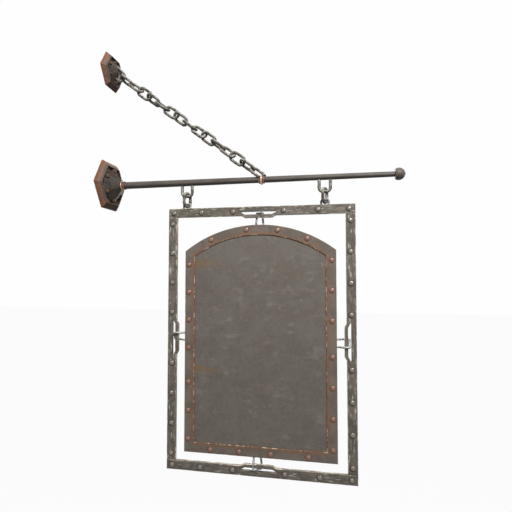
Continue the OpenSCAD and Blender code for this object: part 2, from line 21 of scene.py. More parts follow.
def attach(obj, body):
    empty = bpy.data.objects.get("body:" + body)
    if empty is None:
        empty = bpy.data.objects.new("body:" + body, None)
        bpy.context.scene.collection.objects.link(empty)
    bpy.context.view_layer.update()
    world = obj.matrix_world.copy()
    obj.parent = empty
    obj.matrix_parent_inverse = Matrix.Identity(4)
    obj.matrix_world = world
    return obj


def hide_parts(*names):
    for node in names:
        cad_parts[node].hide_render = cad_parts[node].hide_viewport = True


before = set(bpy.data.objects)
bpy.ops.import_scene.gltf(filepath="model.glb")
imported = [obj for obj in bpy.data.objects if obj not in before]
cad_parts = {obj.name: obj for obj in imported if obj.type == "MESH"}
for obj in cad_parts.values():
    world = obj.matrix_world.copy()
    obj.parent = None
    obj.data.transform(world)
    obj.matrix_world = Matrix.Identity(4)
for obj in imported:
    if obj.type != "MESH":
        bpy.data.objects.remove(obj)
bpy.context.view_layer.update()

LOG = logging.getLogger("sign")
MM = 0.001
Mesh = bpy.types.Mesh
Rgb = tuple[float, float, float]
Spot = tuple[float, float, float]
Point = tuple[float, float]
Loop = Sequence[Point]
Face = tuple[int, ...]


class Body(Enum):
    """The CAD bodies that pieces ride on."""

    BRACKET = "wall_bracket"
    LEFT_LINK = "hanger_link_left"
    RIGHT_LINK = "hanger_link_right"
    SIGN = "sign_frame"


class Slot(Enum):
    """The record's material slots."""

    RUSTY_IRON = "rusty_iron"
    DARK_IRON = "dark_iron"
    COPPER = "copper"
    CHAIN_STEEL = "chain_steel"
    TIE_STEEL = "tie_steel"
    FRAME_STEEL = "frame_steel"
    PANEL_STEEL = "panel_steel"


class Section(Enum):
    """The outline of turned or cast stock, seen along its axis."""

    ROUND = "round"
    HEXAGON = "hexagon"


# Dents, edges and neighbours


@dataclass(frozen=True)
class Ripple:
    """Smooth noise in space from -1 to 1 that repeats on every run, for dents and hammer marks."""

    size: float
    seed: int
    draws: ClassVar[int] = 8192
    cell_keys: ClassVar[tuple[int, int, int]] = (73856093, 19349663, 83492791)

    def at(self, points: np.ndarray) -> np.ndarray:
        """Reads the noise.

        Args:
            points: places in metres, one row each.

        Returns:
            One value for each place.
        """
        table = np.random.default_rng(self.seed).uniform(-1.0, 1.0, self.draws)
        cells = points / (self.size * MM)
        base = np.floor(cells).astype(np.int64)
        part = cells - base
        part = part * part * (3 - 2 * part)
        total = np.zeros(len(points))
        for corner in np.ndindex(2, 2, 2):
            weight = np.prod(np.where(np.array(corner) == 1, part, 1 - part), axis=1)
            keys = (base + np.array(corner)) @ np.array(self.cell_keys)
            total += weight * table[keys % self.draws]
        return total


def rows(items: Any, key: str, width: int = 3, kind: type = float) -> np.ndarray:
    """Reads one property of a mesh's points, normals or edges.

    Args:
        items: what to read it from.
        key: the property's name.
        width: how many numbers it has.
        kind: their type.

    Returns:
        One row for each item.
    """
    values = np.zeros(len(items) * width, kind)
    items.foreach_get(key, values)
    return values.reshape(-1, width)


def normals_of(mesh: Mesh) -> np.ndarray:
    """The vertex normals of a mesh, one row each."""
    return rows(mesh.vertex_normals, "vector")


def move_points(mesh: Mesh, points: np.ndarray) -> None:
    """Moves a mesh's points to new places."""
    mesh.vertices.foreach_set("co", points.ravel())
    mesh.update()


def write_note(mesh: Mesh, name: str, values: np.ndarray) -> None:
    """Stores a number or a vector for each point, which materials read.

    Args:
        mesh: the mesh.
        name: the note's name.
        values: one number or row for each point.
    """
    kind = "FLOAT" if values.ndim == 1 else "FLOAT_VECTOR"
    note = mesh.attributes.get(name) or mesh.attributes.new(name, kind, "POINT")
    note.data.foreach_set("value" if kind == "FLOAT" else "vector", values.astype(np.float32).ravel())


@dataclass
class Web:
    """The edges of a mesh as an array, for averaging over neighbours."""

    edges: np.ndarray
    count: int

    @classmethod
    def of(cls, mesh: Mesh) -> "Web":
        """Reads a mesh's edges."""
        return cls(rows(mesh.edges, "vertices", 2, np.int64), len(mesh.vertices))

    def averaged(self, values: np.ndarray) -> np.ndarray:
        """The mean of each point's neighbours.

        Args:
            values: one row for each point.

        Returns:
            An array of the same shape.
        """
        a, b = self.edges[:, 0], self.edges[:, 1]
        degree = np.bincount(a, minlength=self.count) + np.bincount(b, minlength=self.count)
        flat = values.reshape(self.count, -1)
        sums = [
            np.bincount(a, weights=flat[b, k], minlength=self.count)
            + np.bincount(b, weights=flat[a, k], minlength=self.count)
            for k in range(flat.shape[1])
        ]
        return (np.stack(sums, axis=1) / np.maximum(degree, 1)[:, None]).reshape(values.shape)


def mark_wear(mesh: Mesh) -> None:
    """Stores "wear": above 0 on high edges, where metal rubs bright, and below 0 in hollows and corners,
    which the finishes darken as painted shade.

    Args:
        mesh: a closed mesh of fairly even faces.
    """
    web = Web.of(mesh)
    points = rows(mesh.vertices, "co")
    spans = points[web.edges[:, 0]] - points[web.edges[:, 1]]
    pull = web.averaged(points) - points
    bend = -np.einsum("ij,ij->i", pull, normals_of(mesh)) / np.linalg.norm(spans, axis=1).mean()
    for _ in range(3):
        bend = 0.5 * bend + 0.5 * web.averaged(bend)
    write_note(mesh, "wear", bend)


def smooth_step(values: np.ndarray, low: float, high: float) -> np.ndarray:
    """0 at low and 1 at high, with a soft run between; low may be the larger one."""
    share = np.clip((values - low) / (high - low), 0.0, 1.0)
    return share * share * (3 - 2 * share)


# Meshes in the making


@dataclass
class Shape:
    """A closed mesh in the making: its points in metres, its faces and what is known at each point."""

    points: np.ndarray
    faces: list[Face]
    notes: dict[str, np.ndarray] = field(default_factory=dict)

    def placed(self, matrix: Matrix) -> "Shape":
        """A copy of the shape, moved by a matrix that doesn't mirror."""
        turn = np.array(matrix.to_3x3())
        return Shape(self.points @ turn.T + np.array(matrix.translation), self.faces, dict(self.notes))

    def mesh(self) -> Mesh:
        """Makes the mesh.

        Returns:
            A mesh with the shape's notes, shaded smooth.
        """
        made = bpy.data.meshes.new("stock")
        made.from_pydata(self.points.tolist(), [], self.faces)
        made.validate()
        made.shade_smooth()
        for note, values in self.notes.items():
            write_note(made, note, values)
        return made


def joined(shapes: Iterable[Shape]) -> Shape:
    """Several shapes as one, each still a closed shell.

    Args:
        shapes: the shapes, without notes.

    Returns:
        One shape.
    """
    points, faces, start = [], [], 0
    for shape in shapes:
        points.append(shape.points)
        faces += [tuple(start + i for i in face) for face in shape.faces]
        start += len(shape.points)
    return Shape(np.concatenate(points), faces)


def band(low: Sequence[int], high: Sequence[int]) -> list[Face]:
    """The faces between two closed rows of points.

    Args:
        low: the first row's points, or a single point.
        high: the second row's, as many, or a single point.

    Returns:
        The faces, outward where the rows run anticlockwise and the second lies further along.
    """
    faces = []
    count = max(len(low), len(high))
    for i in range(count):
        j = (i + 1) % count
        if len(low) == 1:
            faces.append((low[0], high[j], high[i]))
        elif len(high) == 1:
            faces.append((low[i], low[j], high[0]))
        else:
            faces.append((low[i], low[j], high[j], high[i]))
    return faces


def densified(loop: Loop, step: float) -> np.ndarray:
    """Adds points along a closed loop, whose own corners stay.

    Args:
        loop: the loop's corners.
        step: the longest stretch that is left.

    Returns:
        The points, one row each.
    """
    corners = np.array(loop, float)
    made = []
    for a, b in zip(corners, np.roll(corners, -1, axis=0)):
        count = max(1, math.ceil(np.linalg.norm(b - a) / step))
        made += [a + (b - a) * k / count for k in range(count)]
    return np.array(made)


def inward(loop: np.ndarray) -> np.ndarray:
    """How each corner of a loop moves when both its sides move in by 1.

    Args:
        loop: a closed loop that has its metal on the left.

    Returns:
        A step for each corner.
    """
    ahead = np.roll(loop, -1, axis=0) - loop
    ahead /= np.linalg.norm(ahead, axis=1)[:, None]
    left = np.stack([-ahead[:, 1], ahead[:, 0]], axis=1)
    before = np.roll(left, 1, axis=0)
    share = 1 + np.einsum("ij,ij->i", left, before)
    return (left + before) / np.maximum(share, 0.6)[:, None]


def loop_distance(points: np.ndarray, loops: Sequence[np.ndarray]) -> np.ndarray:
    """The distance of each point from the nearest stretch of some closed loops.

    Args:
        points: the points, one row each.
        loops: the loops.

    Returns:
        One distance for each point.
    """
    nearest = np.full(len(points), np.inf)
    for loop in loops:
        run = np.roll(loop, -1, axis=0) - loop
        away = points[:, None, :] - loop[None, :, :]
        share = np.clip(np.einsum("ijk,jk->ij", away, run) / np.einsum("ij,ij->i", run, run), 0, 1)
        steps = away - share[:, :, None] * run[None, :, :]
        nearest = np.minimum(nearest, np.linalg.norm(steps, axis=2).min(axis=1))
    return nearest


def inside(points: np.ndarray, loops: Sequence[np.ndarray]) -> np.ndarray:
    """Says for each point whether it lies between an outer loop and its holes.

    Args:
        points: the points, one row each.
        loops: the outer loop and the holes.

    Returns:
        True or False for each point.
    """
    x, y = points[:, 0, None], points[:, 1, None]
    crossings = np.zeros(len(points), int)
    for loop in loops:
        a, b = loop[None, :, :], np.roll(loop, -1, axis=0)[None, :, :]
        spans = (a[:, :, 1] > y) != (b[:, :, 1] > y)
        rise = np.where(spans, b[:, :, 1] - a[:, :, 1], 1.0)
        crossing = a[:, :, 0] + (y - a[:, :, 1]) * (b[:, :, 0] - a[:, :, 0]) / rise
        crossings += np.sum(spans & (x < crossing), axis=1)
    return crossings % 2 == 1


def from_nearest(points: np.ndarray, spots: Sequence[Point], place: Matrix) -> np.ndarray:
    """How each point lies from the nearest spot, for the painted shade that rings a rivet.

    Args:
        points: flat places in millimetres, one row each.
        spots: the middles of the rings.
        place: the matrix that brings the flat plan into the part's frame.

    Returns:
        A step in the part's directions for each point. Those over 40 mm off share one far value, so that
        a triangle between two spots never seems to lie on one.
    """
    away = points[:, None, :] - np.array(spots)[None, :, :]
    nearest = np.linalg.norm(away, axis=2).argmin(axis=1)
    steps = away[np.arange(len(points)), nearest]
    steps[np.linalg.norm(steps, axis=1) > 40.0] = 60.0
    return np.column_stack([steps, np.zeros(len(points))]) @ np.array(place.to_3x3()).T


@dataclass(frozen=True)
class FlatStock:
    """Flat stock cut to an outline, with rubbed and nicked edges and uneven faces.

    The stock lies from z = 0 to its thickness. Loops have their metal on the left.
    """

    thickness: float
    nick: float
    dent: float
    seed: int
    step: float = 4.0
    grid: float = 9.0
    edge_r: ClassVar[float] = 0.9
    row_gaps: ClassVar[Point] = (2.0, 5.0)
    row_clear: ClassVar[float] = 1.6
    grid_clear: ClassVar[float] = 6.0

    def cut(self, outer: Loop, holes: Sequence[Loop] = ()) -> Shape:
        """Cuts the stock.

        Args:
            outer: the outer loop, in millimetres, anticlockwise.
            holes: the loops of its openings, clockwise.

        Returns:
            A closed shape in metres, with the notes "edge", the distance from the nearest edge in
            millimetres, and "grain", the place on the stock in metres.
        """
        rings = self._rings()
        flat, heights, edges, faces, hems = [], [], [], [], []
        count = 0
        for corners in (outer, *holes):
            loop = densified(corners, self.step)
            step_in, nicks = inward(loop), self._nicks(loop)
            hem = []
            for inset, height in rings:
                hem.append((list(range(count, count + len(loop))), loop + step_in * (inset + nicks)[:, None]))
                flat.append(hem[-1][1])
                heights.append(np.full(len(loop), height))
                edges.append(np.full(len(loop), inset))
                count += len(loop)
            for (low, _), (high, _) in zip(hem, hem[1:]):
                faces += band(low, high)
            hems.append(hem)
        for cap in (0, len(rings) - 1):
            picks, rims = zip(*(hem[cap] for hem in hems))
            inner, inner_edge = self._inner_points(rims)
            lookup = [*sum(picks, []), *range(count, count + len(inner))]
            for triangle in self._filled(rims, inner):
                corners = tuple(lookup[i] for i in triangle)
                faces.append(corners if cap else corners[::-1])
            uneven = self._uneven(inner, inner_edge, cap)
            flat.append(inner)
            heights.append(rings[cap][1] - uneven if cap else rings[cap][1] + uneven)
            edges.append(inner_edge + self.edge_r)
            count += len(inner)
        points = np.column_stack([np.concatenate(flat), np.concatenate(heights)]) * MM
        offset = np.array([self.seed * 1.37, self.seed * 0.61, 0.0])
        return Shape(points, faces, {"edge": np.concatenate(edges), "grain": points + offset})

    def _rings(self) -> list[Point]:
        """How far in and how high each ring of the rubbed edge lies, from the lower face to the upper one."""
        turns = [math.radians(degrees) for degrees in (0, 45, 90)]
        low = [(self.edge_r * (1 - math.sin(t)), self.edge_r * (1 - math.cos(t))) for t in turns]
        return low + [(inset, self.thickness - rise) for inset, rise in reversed(low)]

    def _nicks(self, loop: np.ndarray) -> np.ndarray:
        """How far wear has eaten into the edge at each point of a loop."""
        places = np.column_stack([loop, np.zeros(len(loop))]) * MM
        waves = Ripple(45.0, self.seed + 11).at(places) + Ripple(9.0, self.seed + 12).at(places)
        return self.nick * np.clip(waves - 0.35, 0, 1)

    def _inner_points(self, rims: Sequence[np.ndarray]) -> tuple[np.ndarray, np.ndarray]:
        """Points to fill a face with: two rows that follow the edges, and an even grid.

        Args:
            rims: the face's outer loop and its holes.

        Returns:
            The points, and the distance of each from the nearest rim.
        """
        candidates = [
            ((rim + inward(rim) * gap)[::2], self.row_clear) for gap in self.row_gaps for rim in rims
        ]
        lowest, highest = rims[0].min(axis=0), rims[0].max(axis=0)
        across = np.arange(lowest[0], highest[0], self.grid)
        up = np.arange(lowest[1], highest[1], self.grid * 0.87)
        mesh_x, mesh_y = np.meshgrid(across, up)
        mesh_x = mesh_x + (np.arange(len(up)) % 2)[:, None] * self.grid / 2
        candidates.append((np.column_stack([mesh_x.ravel(), mesh_y.ravel()]), self.grid_clear))
        made, distances = [], []
        for points, least in candidates:
            points = points[inside(points, rims)]
            distance = loop_distance(points, rims)
            made.append(points[distance > least])
            distances.append(distance[distance > least])
        return np.concatenate(made), np.concatenate(distances)

    @staticmethod
    def _filled(rims: Sequence[np.ndarray], inner: np.ndarray) -> np.ndarray:
        """Fills the face between the rims through the inner points.

        Args:
            rims: the face's outer loop and its holes.
            inner: the points between them.

        Returns:
            Triangles, anticlockwise, one row of three point numbers each.
        """
        points = np.concatenate([*rims, inner])
        edges, start = [], 0
        for rim in rims:
            edges += [(start + i, start + (i + 1) % len(rim)) for i in range(len(rim))]
            start += len(rim)
        _, _, found, sources, _, _ = delaunay_2d_cdt([Vector(p) for p in points], edges, [], 0, 1e-6, True)
        source = [ids[0] if ids else -1 for ids in sources]
        triangles = np.array([[source[i] for i in face] for face in found if len(face) == 3])
        triangles = triangles[(triangles >= 0).all(axis=1)]
        triangles = triangles[inside(points[triangles].mean(axis=1), rims)]
        a, b, c = (points[triangles[:, k]] for k in range(3))
        area = (b[:, 0] - a[:, 0]) * (c[:, 1] - a[:, 1]) - (b[:, 1] - a[:, 1]) * (c[:, 0] - a[:, 0])
        triangles[area < 0] = triangles[area < 0][:, ::-1]
        return triangles

    def _uneven(self, points: np.ndarray, edge: np.ndarray, ring: int) -> np.ndarray:
        """How deep a face is dented, which never makes the stock thicker than it should be.

        Args:
            points: the face's inner points.
            edge: their distances from the nearest edge.
            ring: the number of the ring round the face, which sets its dents apart.

        Returns:
            One depth for each point.
        """
        places = np.column_stack([points, np.full(len(points), 40.0 * ring)]) * MM
        broad, small = Ripple(70.0, self.seed + 21).at(places), Ripple(20.0, self.seed + 22).at(places)
        return self.dent * (0.5 + 0.5 * (0.65 * broad + 0.35 * small)) * smooth_step(edge, 0.0, 7.0)


@dataclass(frozen=True)
class Turned:
    """Stock that is turned, or cast with six sides, about the X axis from a profile of (place, radius).

    An open profile starts and ends on the axis. A ring's profile is a closed loop, anticlockwise with the
    place to the right and the radius up.
    """

    profile: Sequence[Point]
    section: Section = Section.ROUND
    ring: bool = False
    corner_r: float = 0.8
    step: float = 6.0
    sides: int = 48
    dent: float = 0.2
    dent_size: float = 14.0
    seed: int = 1
    corner_wear: ClassVar[float] = 0.965

    def shape(self) -> Shape:
        """Turns the stock into a closed shape in metres.

        Returns:
            The shape, without notes.
        """
        angles = np.arange(self.sides) * 2 * math.pi / self.sides
        outline = [(k * math.cos(t), k * math.sin(t)) for t, k in zip(angles, self._outline(angles))]
        points, faces, rings = [], [], []
        for place, radius in self._softened():
            if radius < 1e-6:
                rings.append([len(points)])
                points.append((place, 0.0, 0.0))
                continue
            rings.append(list(range(len(points), len(points) + self.sides)))
            points += [(place, radius * y, radius * z) for y, z in outline]
        for low, high in zip(rings, rings[1:] + (rings[:1] if self.ring else [])):
            faces += band(low, high)
        return Shape(self._dented(np.array(points) * MM), faces)

    def _outline(self, angles: np.ndarray) -> np.ndarray:
        """How far the outline reaches at each angle, as a share of the corner radius."""
        if self.section is Section.ROUND:
            return np.ones(len(angles))
        third = math.radians(60)
        return np.minimum(math.cos(third / 2) / np.cos(np.mod(angles, third) - third / 2), self.corner_wear)

    def _softened(self) -> list[Point]:
        """Rubs the profile's corners round and divides its long stretches.

        Returns:
            The finer profile.
        """
        corners = [np.array(p, float) for p in self.profile]
        count = len(corners)
        made: list[np.ndarray] = []
        for i, corner in enumerate(corners):
            if not self.ring and i in (0, count - 1):
                made.append(corner)
                continue
            before, after = corners[i - 1] - corner, corners[(i + 1) % count] - corner
            reach = min(self.corner_r, 0.45 * np.linalg.norm(before), 0.45 * np.linalg.norm(after))
            start = corner + before / np.linalg.norm(before) * reach
            end = corner + after / np.linalg.norm(after) * reach
            for t in (0.0, 0.33, 0.67, 1.0):
                made.append((1 - t) ** 2 * start + 2 * t * (1 - t) * corner + t * t * end)
        line: list[Point] = []
        for a, b in zip(made, made[1:] + (made[:1] if self.ring else [])):
            parts = max(1, math.ceil(np.linalg.norm(b - a) / self.step))
            line += [tuple(a + (b - a) * k / parts) for k in range(parts)]
        return line if self.ring else line + [tuple(made[-1])]

    def _dented(self, points: np.ndarray) -> np.ndarray:
        """Beats shallow dents into the stock, towards its axis.

        Args:
            points: the stock's points in metres.

        Returns:
            The points after it.
        """
        radius = np.hypot(points[:, 1], points[:, 2])
        stretched = points * np.array([0.45, 1.0, 1.0])
        depth = self.dent * MM * (0.5 + 0.5 * Ripple(self.dent_size, self.seed).at(stretched))
        shrink = 1 - np.minimum(depth, 0.3 * radius) / np.maximum(radius, 1e-9)
        return np.column_stack([points[:, 0], points[:, 1] * shrink, points[:, 2] * shrink])


@dataclass(frozen=True)
class Forged:
    """A casting or forging: a CAD node's own shape with its sharp edges gone and its skin uneven."""

    node: str
    cell: float
    rounds: int
    dent: float
    dent_size: float
    seed: int
    crest: Callable[[np.ndarray], np.ndarray] | None = None
    crest_rounds: ClassVar[int] = 22

    def mesh(self) -> Mesh:
        """Makes the casting from a copy of the node.

        Returns:
            A closed mesh of even cells, with the note "wear".
        """
        base = self._even_copy()
        web = Web.of(base)
        points = rows(base.vertices, "co")
        for _ in range(self.rounds):
            points = points + 0.5 * (web.averaged(points) - points)
            points = points - 0.51 * (web.averaged(points) - points)
        if self.crest is not None:
            share = self.crest(points)[:, None]
            for _ in range(self.crest_rounds):
                points = points + 0.5 * share * (web.averaged(points) - points)
        move_points(base, points)
        mark_wear(base)
        broad = Ripple(self.dent_size, self.seed).at(points)
        small = Ripple(self.dent_size / 3, self.seed + 1).at(points)
        depth = self.dent * MM * (0.6 * broad + 0.4 * small - 0.5)
        move_points(base, points + normals_of(base) * depth[:, None])
        base.shade_smooth()
        return base

    def _even_copy(self) -> Mesh:
        """Merges a copy of the node and remeshes it.

        Returns:
            A mesh of even cells.
        """
        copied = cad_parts[self.node].data.copy()
        loose = bmesh.new()
        loose.from_mesh(copied)
        bmesh.ops.remove_doubles(loose, verts=loose.verts, dist=1e-6)
        loose.to_mesh(copied)
        loose.free()
        holder = add_object("blank", copied)
        remesh = holder.modifiers.new("even", "REMESH")
        remesh.mode = "VOXEL"
        remesh.voxel_size = self.cell * MM
        made = finished(holder)
        made.materials.clear()
        return made


def add_object(name: str, data: bpy.types.ID) -> bpy.types.Object:
    """Adds an object to the scene.

    Args:
        name: its name.
        data: its mesh, light or camera.

    Returns:
        The object.
    """
    made = bpy.data.objects.new(name, data)
    bpy.context.scene.collection.objects.link(made)
    return made


def finished(holder: bpy.types.Object) -> Mesh:
    """Turns an object's modifiers into a plain mesh, and uses the object and its own mesh up.

    Args:
        holder: the object.

    Returns:
        The plain mesh.
    """
    graph = bpy.context.evaluated_depsgraph_get()
    made = bpy.data.meshes.new_from_object(holder.evaluated_get(graph), depsgraph=graph)
    base = holder.data
    holder.modifiers.clear()
    bpy.data.objects.remove(holder)
    bpy.data.meshes.remove(base)
    return made


# Node trees


def operator(operation: str, reflected: bool = False) -> Callable[..., "Flow"]:
    """Makes a method of Flow that adds one Math node.

    Args:
        operation: the node's operation.
        reflected: whether the other value comes first.

    Returns:
        The method.
    """

    def method(flow: "Flow", other: Any = 0.0) -> "Flow":
        """Adds the node for this flow and another value."""
        first, second = (other, flow) if reflected else (flow, other)
        return flow.bench.out("ShaderNodeMath", {"operation": operation}, {0: first, 1: second})

    return method


class Flow:
    """A number or vector that flows through a node tree. Python's operators on it add Math nodes."""

    __add__ = __radd__ = operator("ADD")
    __mul__ = __rmul__ = operator("MULTIPLY")
    __sub__ = operator("SUBTRACT")
    __rsub__ = operator("SUBTRACT", reflected=True)
    __truediv__ = operator("DIVIDE")
    __rtruediv__ = operator("DIVIDE", reflected=True)
    __abs__ = operator("ABSOLUTE")
    sign = operator("SIGN")
    least = operator("MINIMUM")
    most = operator("MAXIMUM")

    def __init__(self, bench: "Bench", socket: bpy.types.NodeSocket) -> None:
        """Wraps a socket of a tree."""
        self.bench = bench
        self.socket = socket

    def fit(self, low: float, high: float) -> "Flow":
        """Runs softly from 0 to 1 as this goes from low to high.

        Args:
            low: where it is 0.
            high: where it is 1, which may be the smaller one.

        Returns:
            A number from 0 to 1.
        """
        ends = {1: low, 2: high, 3: 0.0, 4: 1.0} if low < high else {1: high, 2: low, 3: 1.0, 4: 0.0}
        return self.bench.out("ShaderNodeMapRange", {"interpolation_type": "SMOOTHSTEP"}, {0: self, **ends})


class Bench:
    """Adds nodes to one tree."""

    def __init__(self, tree: bpy.types.NodeTree) -> None:
        """Takes the tree to work on."""
        self.tree = tree

    def put(
        self, kind: str, settings: Mapping[str, Any] | None = None, feeds: Mapping[Any, Any] | None = None
    ) -> bpy.types.Node:
        """Adds a node.

        Args:
            kind: the node's type.
            settings: its properties, which are set first.
            feeds: values or links for its inputs, by name or number.

        Returns:
            The node.
        """
        node = self.tree.nodes.new(kind)
        for name, value in (settings or {}).items():
            setattr(node, name, value)
        for key, value in (feeds or {}).items():
            self.feed(node.inputs[key], value)
        return node

    def out(
        self,
        kind: str,
        settings: Mapping[str, Any] | None = None,
        feeds: Mapping[Any, Any] | None = None,
        output: Any = 0,
    ) -> Flow:
        """Adds a node and gives one of its outputs."""
        return Flow(self, self.put(kind, settings, feeds).outputs[output])

    def feed(self, socket: bpy.types.NodeSocket, value: Any) -> None:
        """Links a flow to an input, or sets its value."""
        if isinstance(value, Flow):
            self.tree.links.new(value.socket, socket)
        else:
            socket.default_value = value

    def length(self, vector: Flow) -> Flow:
        """The length of a vector."""
        return self.out("ShaderNodeVectorMath", {"operation": "LENGTH"}, {0: vector}, "Value")

    def vector(self, x: Any, y: Any, z: Any) -> Flow:
        """A vector of three numbers."""
        return self.out("ShaderNodeCombineXYZ", feeds={0: x, 1: y, 2: z})

    def parts(self, vector: Flow) -> tuple[Flow, Flow, Flow]:
        """The three numbers of a vector."""
        node = self.put("ShaderNodeSeparateXYZ", feeds={0: vector})
        return tuple(Flow(self, output) for output in node.outputs)

    def scaled(self, vector: Flow, by: Rgb | Flow) -> Flow:
        """A vector times another, part by part, or times one number."""
        if isinstance(by, Flow):
            return self.out("ShaderNodeVectorMath", {"operation": "SCALE"}, {0: vector, "Scale": by})
        return self.out("ShaderNodeVectorMath", {"operation": "MULTIPLY"}, {0: vector, 1: by})

    def moved(self, vector: Flow, by: Any) -> Flow:
        """A vector plus another."""
        return self.out("ShaderNodeVectorMath", {"operation": "ADD"}, {0: vector, 1: by})

    def noise(
        self,
        place: Flow,
        size: float,
        detail: float = 3.0,
        rough: float = 0.55,
        warp: float = 0.0,
        squeeze: Rgb | None = None,
        shift: Rgb | None = None,
    ) -> Flow:
        """Cloudy noise from 0 to 1.

        Args:
            place: the place in metres.
            size: the size of its largest clouds, in millimetres.
            detail: how many finer layers it has.
            rough: how strong they are.
            warp: how far they twist.
            squeeze: a share for each axis, below 1 where the clouds are drawn out.
            shift: a step in metres to another part of the noise.

        Returns:
            The noise.
        """
        if squeeze is not None:
            place = self.scaled(place, squeeze)
        if shift is not None:
            place = self.moved(place, shift)
        scale = 1.0 / (size * MM)
        feeds = {"Vector": place, "Scale": scale, "Detail": detail, "Roughness": rough, "Distortion": warp}
        return self.out("ShaderNodeTexNoise", {"noise_dimensions": "3D"}, feeds)

    def cells(self, place: Flow, size: float) -> Flow:
        """The distance from the middle of the nearest cell of a random pattern, from 0 to about 1."""
        feeds = {"Vector": place, "Scale": 1.0 / (size * MM)}
        return self.out("ShaderNodeTexVoronoi", {"feature": "F1"}, feeds)


# Finishes


def srgb(red: int, green: int, blue: int) -> Rgb:
    """A colour given as it shows on a screen, as the plain light that the renderer works with.

    Args:
        red: its red part, up to 255.
        green: its green part.
        blue: its blue part.

    Returns:
        The colour, each part from 0 to 1.
    """
    shares = [value / 255 for value in (red, green, blue)]
    return tuple(s / 12.92 if s <= 0.04045 else ((s + 0.055) / 1.055) ** 2.4 for s in shares)


class Paint(Bench):
    """A bench for a material's tree."""

    def place(self) -> Flow:
        """The place on the piece, in metres, in the part's frame."""
        return self.out("ShaderNodeTexCoord", output="Object")

    def note(self, name: str) -> Flow:
        """A number that the mesh keeps at each point."""
        return self.out("ShaderNodeAttribute", {"attribute_name": name}, output="Fac")

    def note_vector(self, name: str) -> Flow:
        """A vector that the mesh keeps at each point."""
        return self.out("ShaderNodeAttribute", {"attribute_name": name}, output="Vector")

    def coats(self, colour: Flow | Rgb, *layers: tuple[Flow, Flow | Rgb]) -> Flow:
        """Lays colours over a first one.

        Args:
            colour: the first colour.
            layers: for each coat, how much of it shows, from 0 to 1, and its colour.

        Returns:
            The colour that shows in the end.
        """
        for share, tint in layers:
            under, over = (c if isinstance(c, Flow) else (*c, 1.0) for c in (colour, tint))
            colour = self.out("ShaderNodeMix", {"data_type": "RGBA"}, {0: share, 6: under, 7: over}, 2)
        return colour

    def blotch(self, place: Flow, centre: Rgb, radii: Rgb) -> Flow:
        """1 at a centre and 0 outside the given radii, all in millimetres.

        Args:
            place: the place in metres.
            centre: the middle of the blotch.
            radii: its reach along each axis.

        Returns:
            How strong the blotch is.
        """
        away = self.moved(place, tuple(-c * MM for c in centre))
        share = self.scaled(away, tuple(1.0 / (r * MM) for r in radii))
        return self.length(share).fit(1.0, 0.1)

    def rivet_shade(self, reach: float, foot: float, below: float, above: float) -> Flow:
        """Painted shade round the nearest rivet's head: a painted shadow on its lower left side and a fainter
        ring all round.

        Args:
            reach: where the painted shade ends, in millimetres from the rivet's middle.
            foot: where it is full.
            below: how much of it lies only on the lower left side, as a painted shadow.
            above: how much goes all the way round.

        Returns:
            How strong the painted shade is.
        """
        step = self.note_vector("rivet")
        across, _, up = self.parts(step)
        away = self.length(step)
        shaded = ((across + up) * -0.707 / away).fit(-0.2, 0.8)
        return away.fit(reach, foot) * (shaded * below + above)


@dataclass
class Skin:
    """What a finish gives the shader: a colour, a roughness, a metallic share and a height in millimetres."""

    colour: Flow
    rough: Flow | float
    metal: Flow | float
    height: Flow


@dataclass(frozen=True)
class Finish:
    """A finish that makes its material once and gives the same one after that."""

    name: str
    slot: Slot
    sheen: ClassVar[float] = 0.25

    def skin(self, paint: Paint) -> Skin:
        """Works out the finish over the surface.

        Args:
            paint: the bench of the material's tree.

        Returns:
            What goes to the shader.
        """
        raise NotImplementedError

    def material(self) -> bpy.types.Material:
        """The finish as a material.

        Returns:
            The material, made on the first call.
        """
        known = bpy.data.materials.get(self.name)
        if known is not None:
            return known
        made = bpy.data.materials.new(self.name)
        made.use_nodes = True
        made.node_tree.nodes.clear()
        paint = Paint(made.node_tree)
        skin = self.skin(paint)
        bump = {"Height": skin.height, "Distance": MM, "Strength": 1.0}
        feeds = {
            "Base Color": skin.colour,
            "Roughness": skin.rough,
            "Metallic": skin.metal,
            "Specular IOR Level": self.sheen,
            "Normal": paint.out("ShaderNodeBump", feeds=bump),
        }
        shader = paint.out("ShaderNodeBsdfPrincipled", feeds=feeds)
        paint.put("ShaderNodeOutputMaterial", feeds={"Surface": shader})
        return made


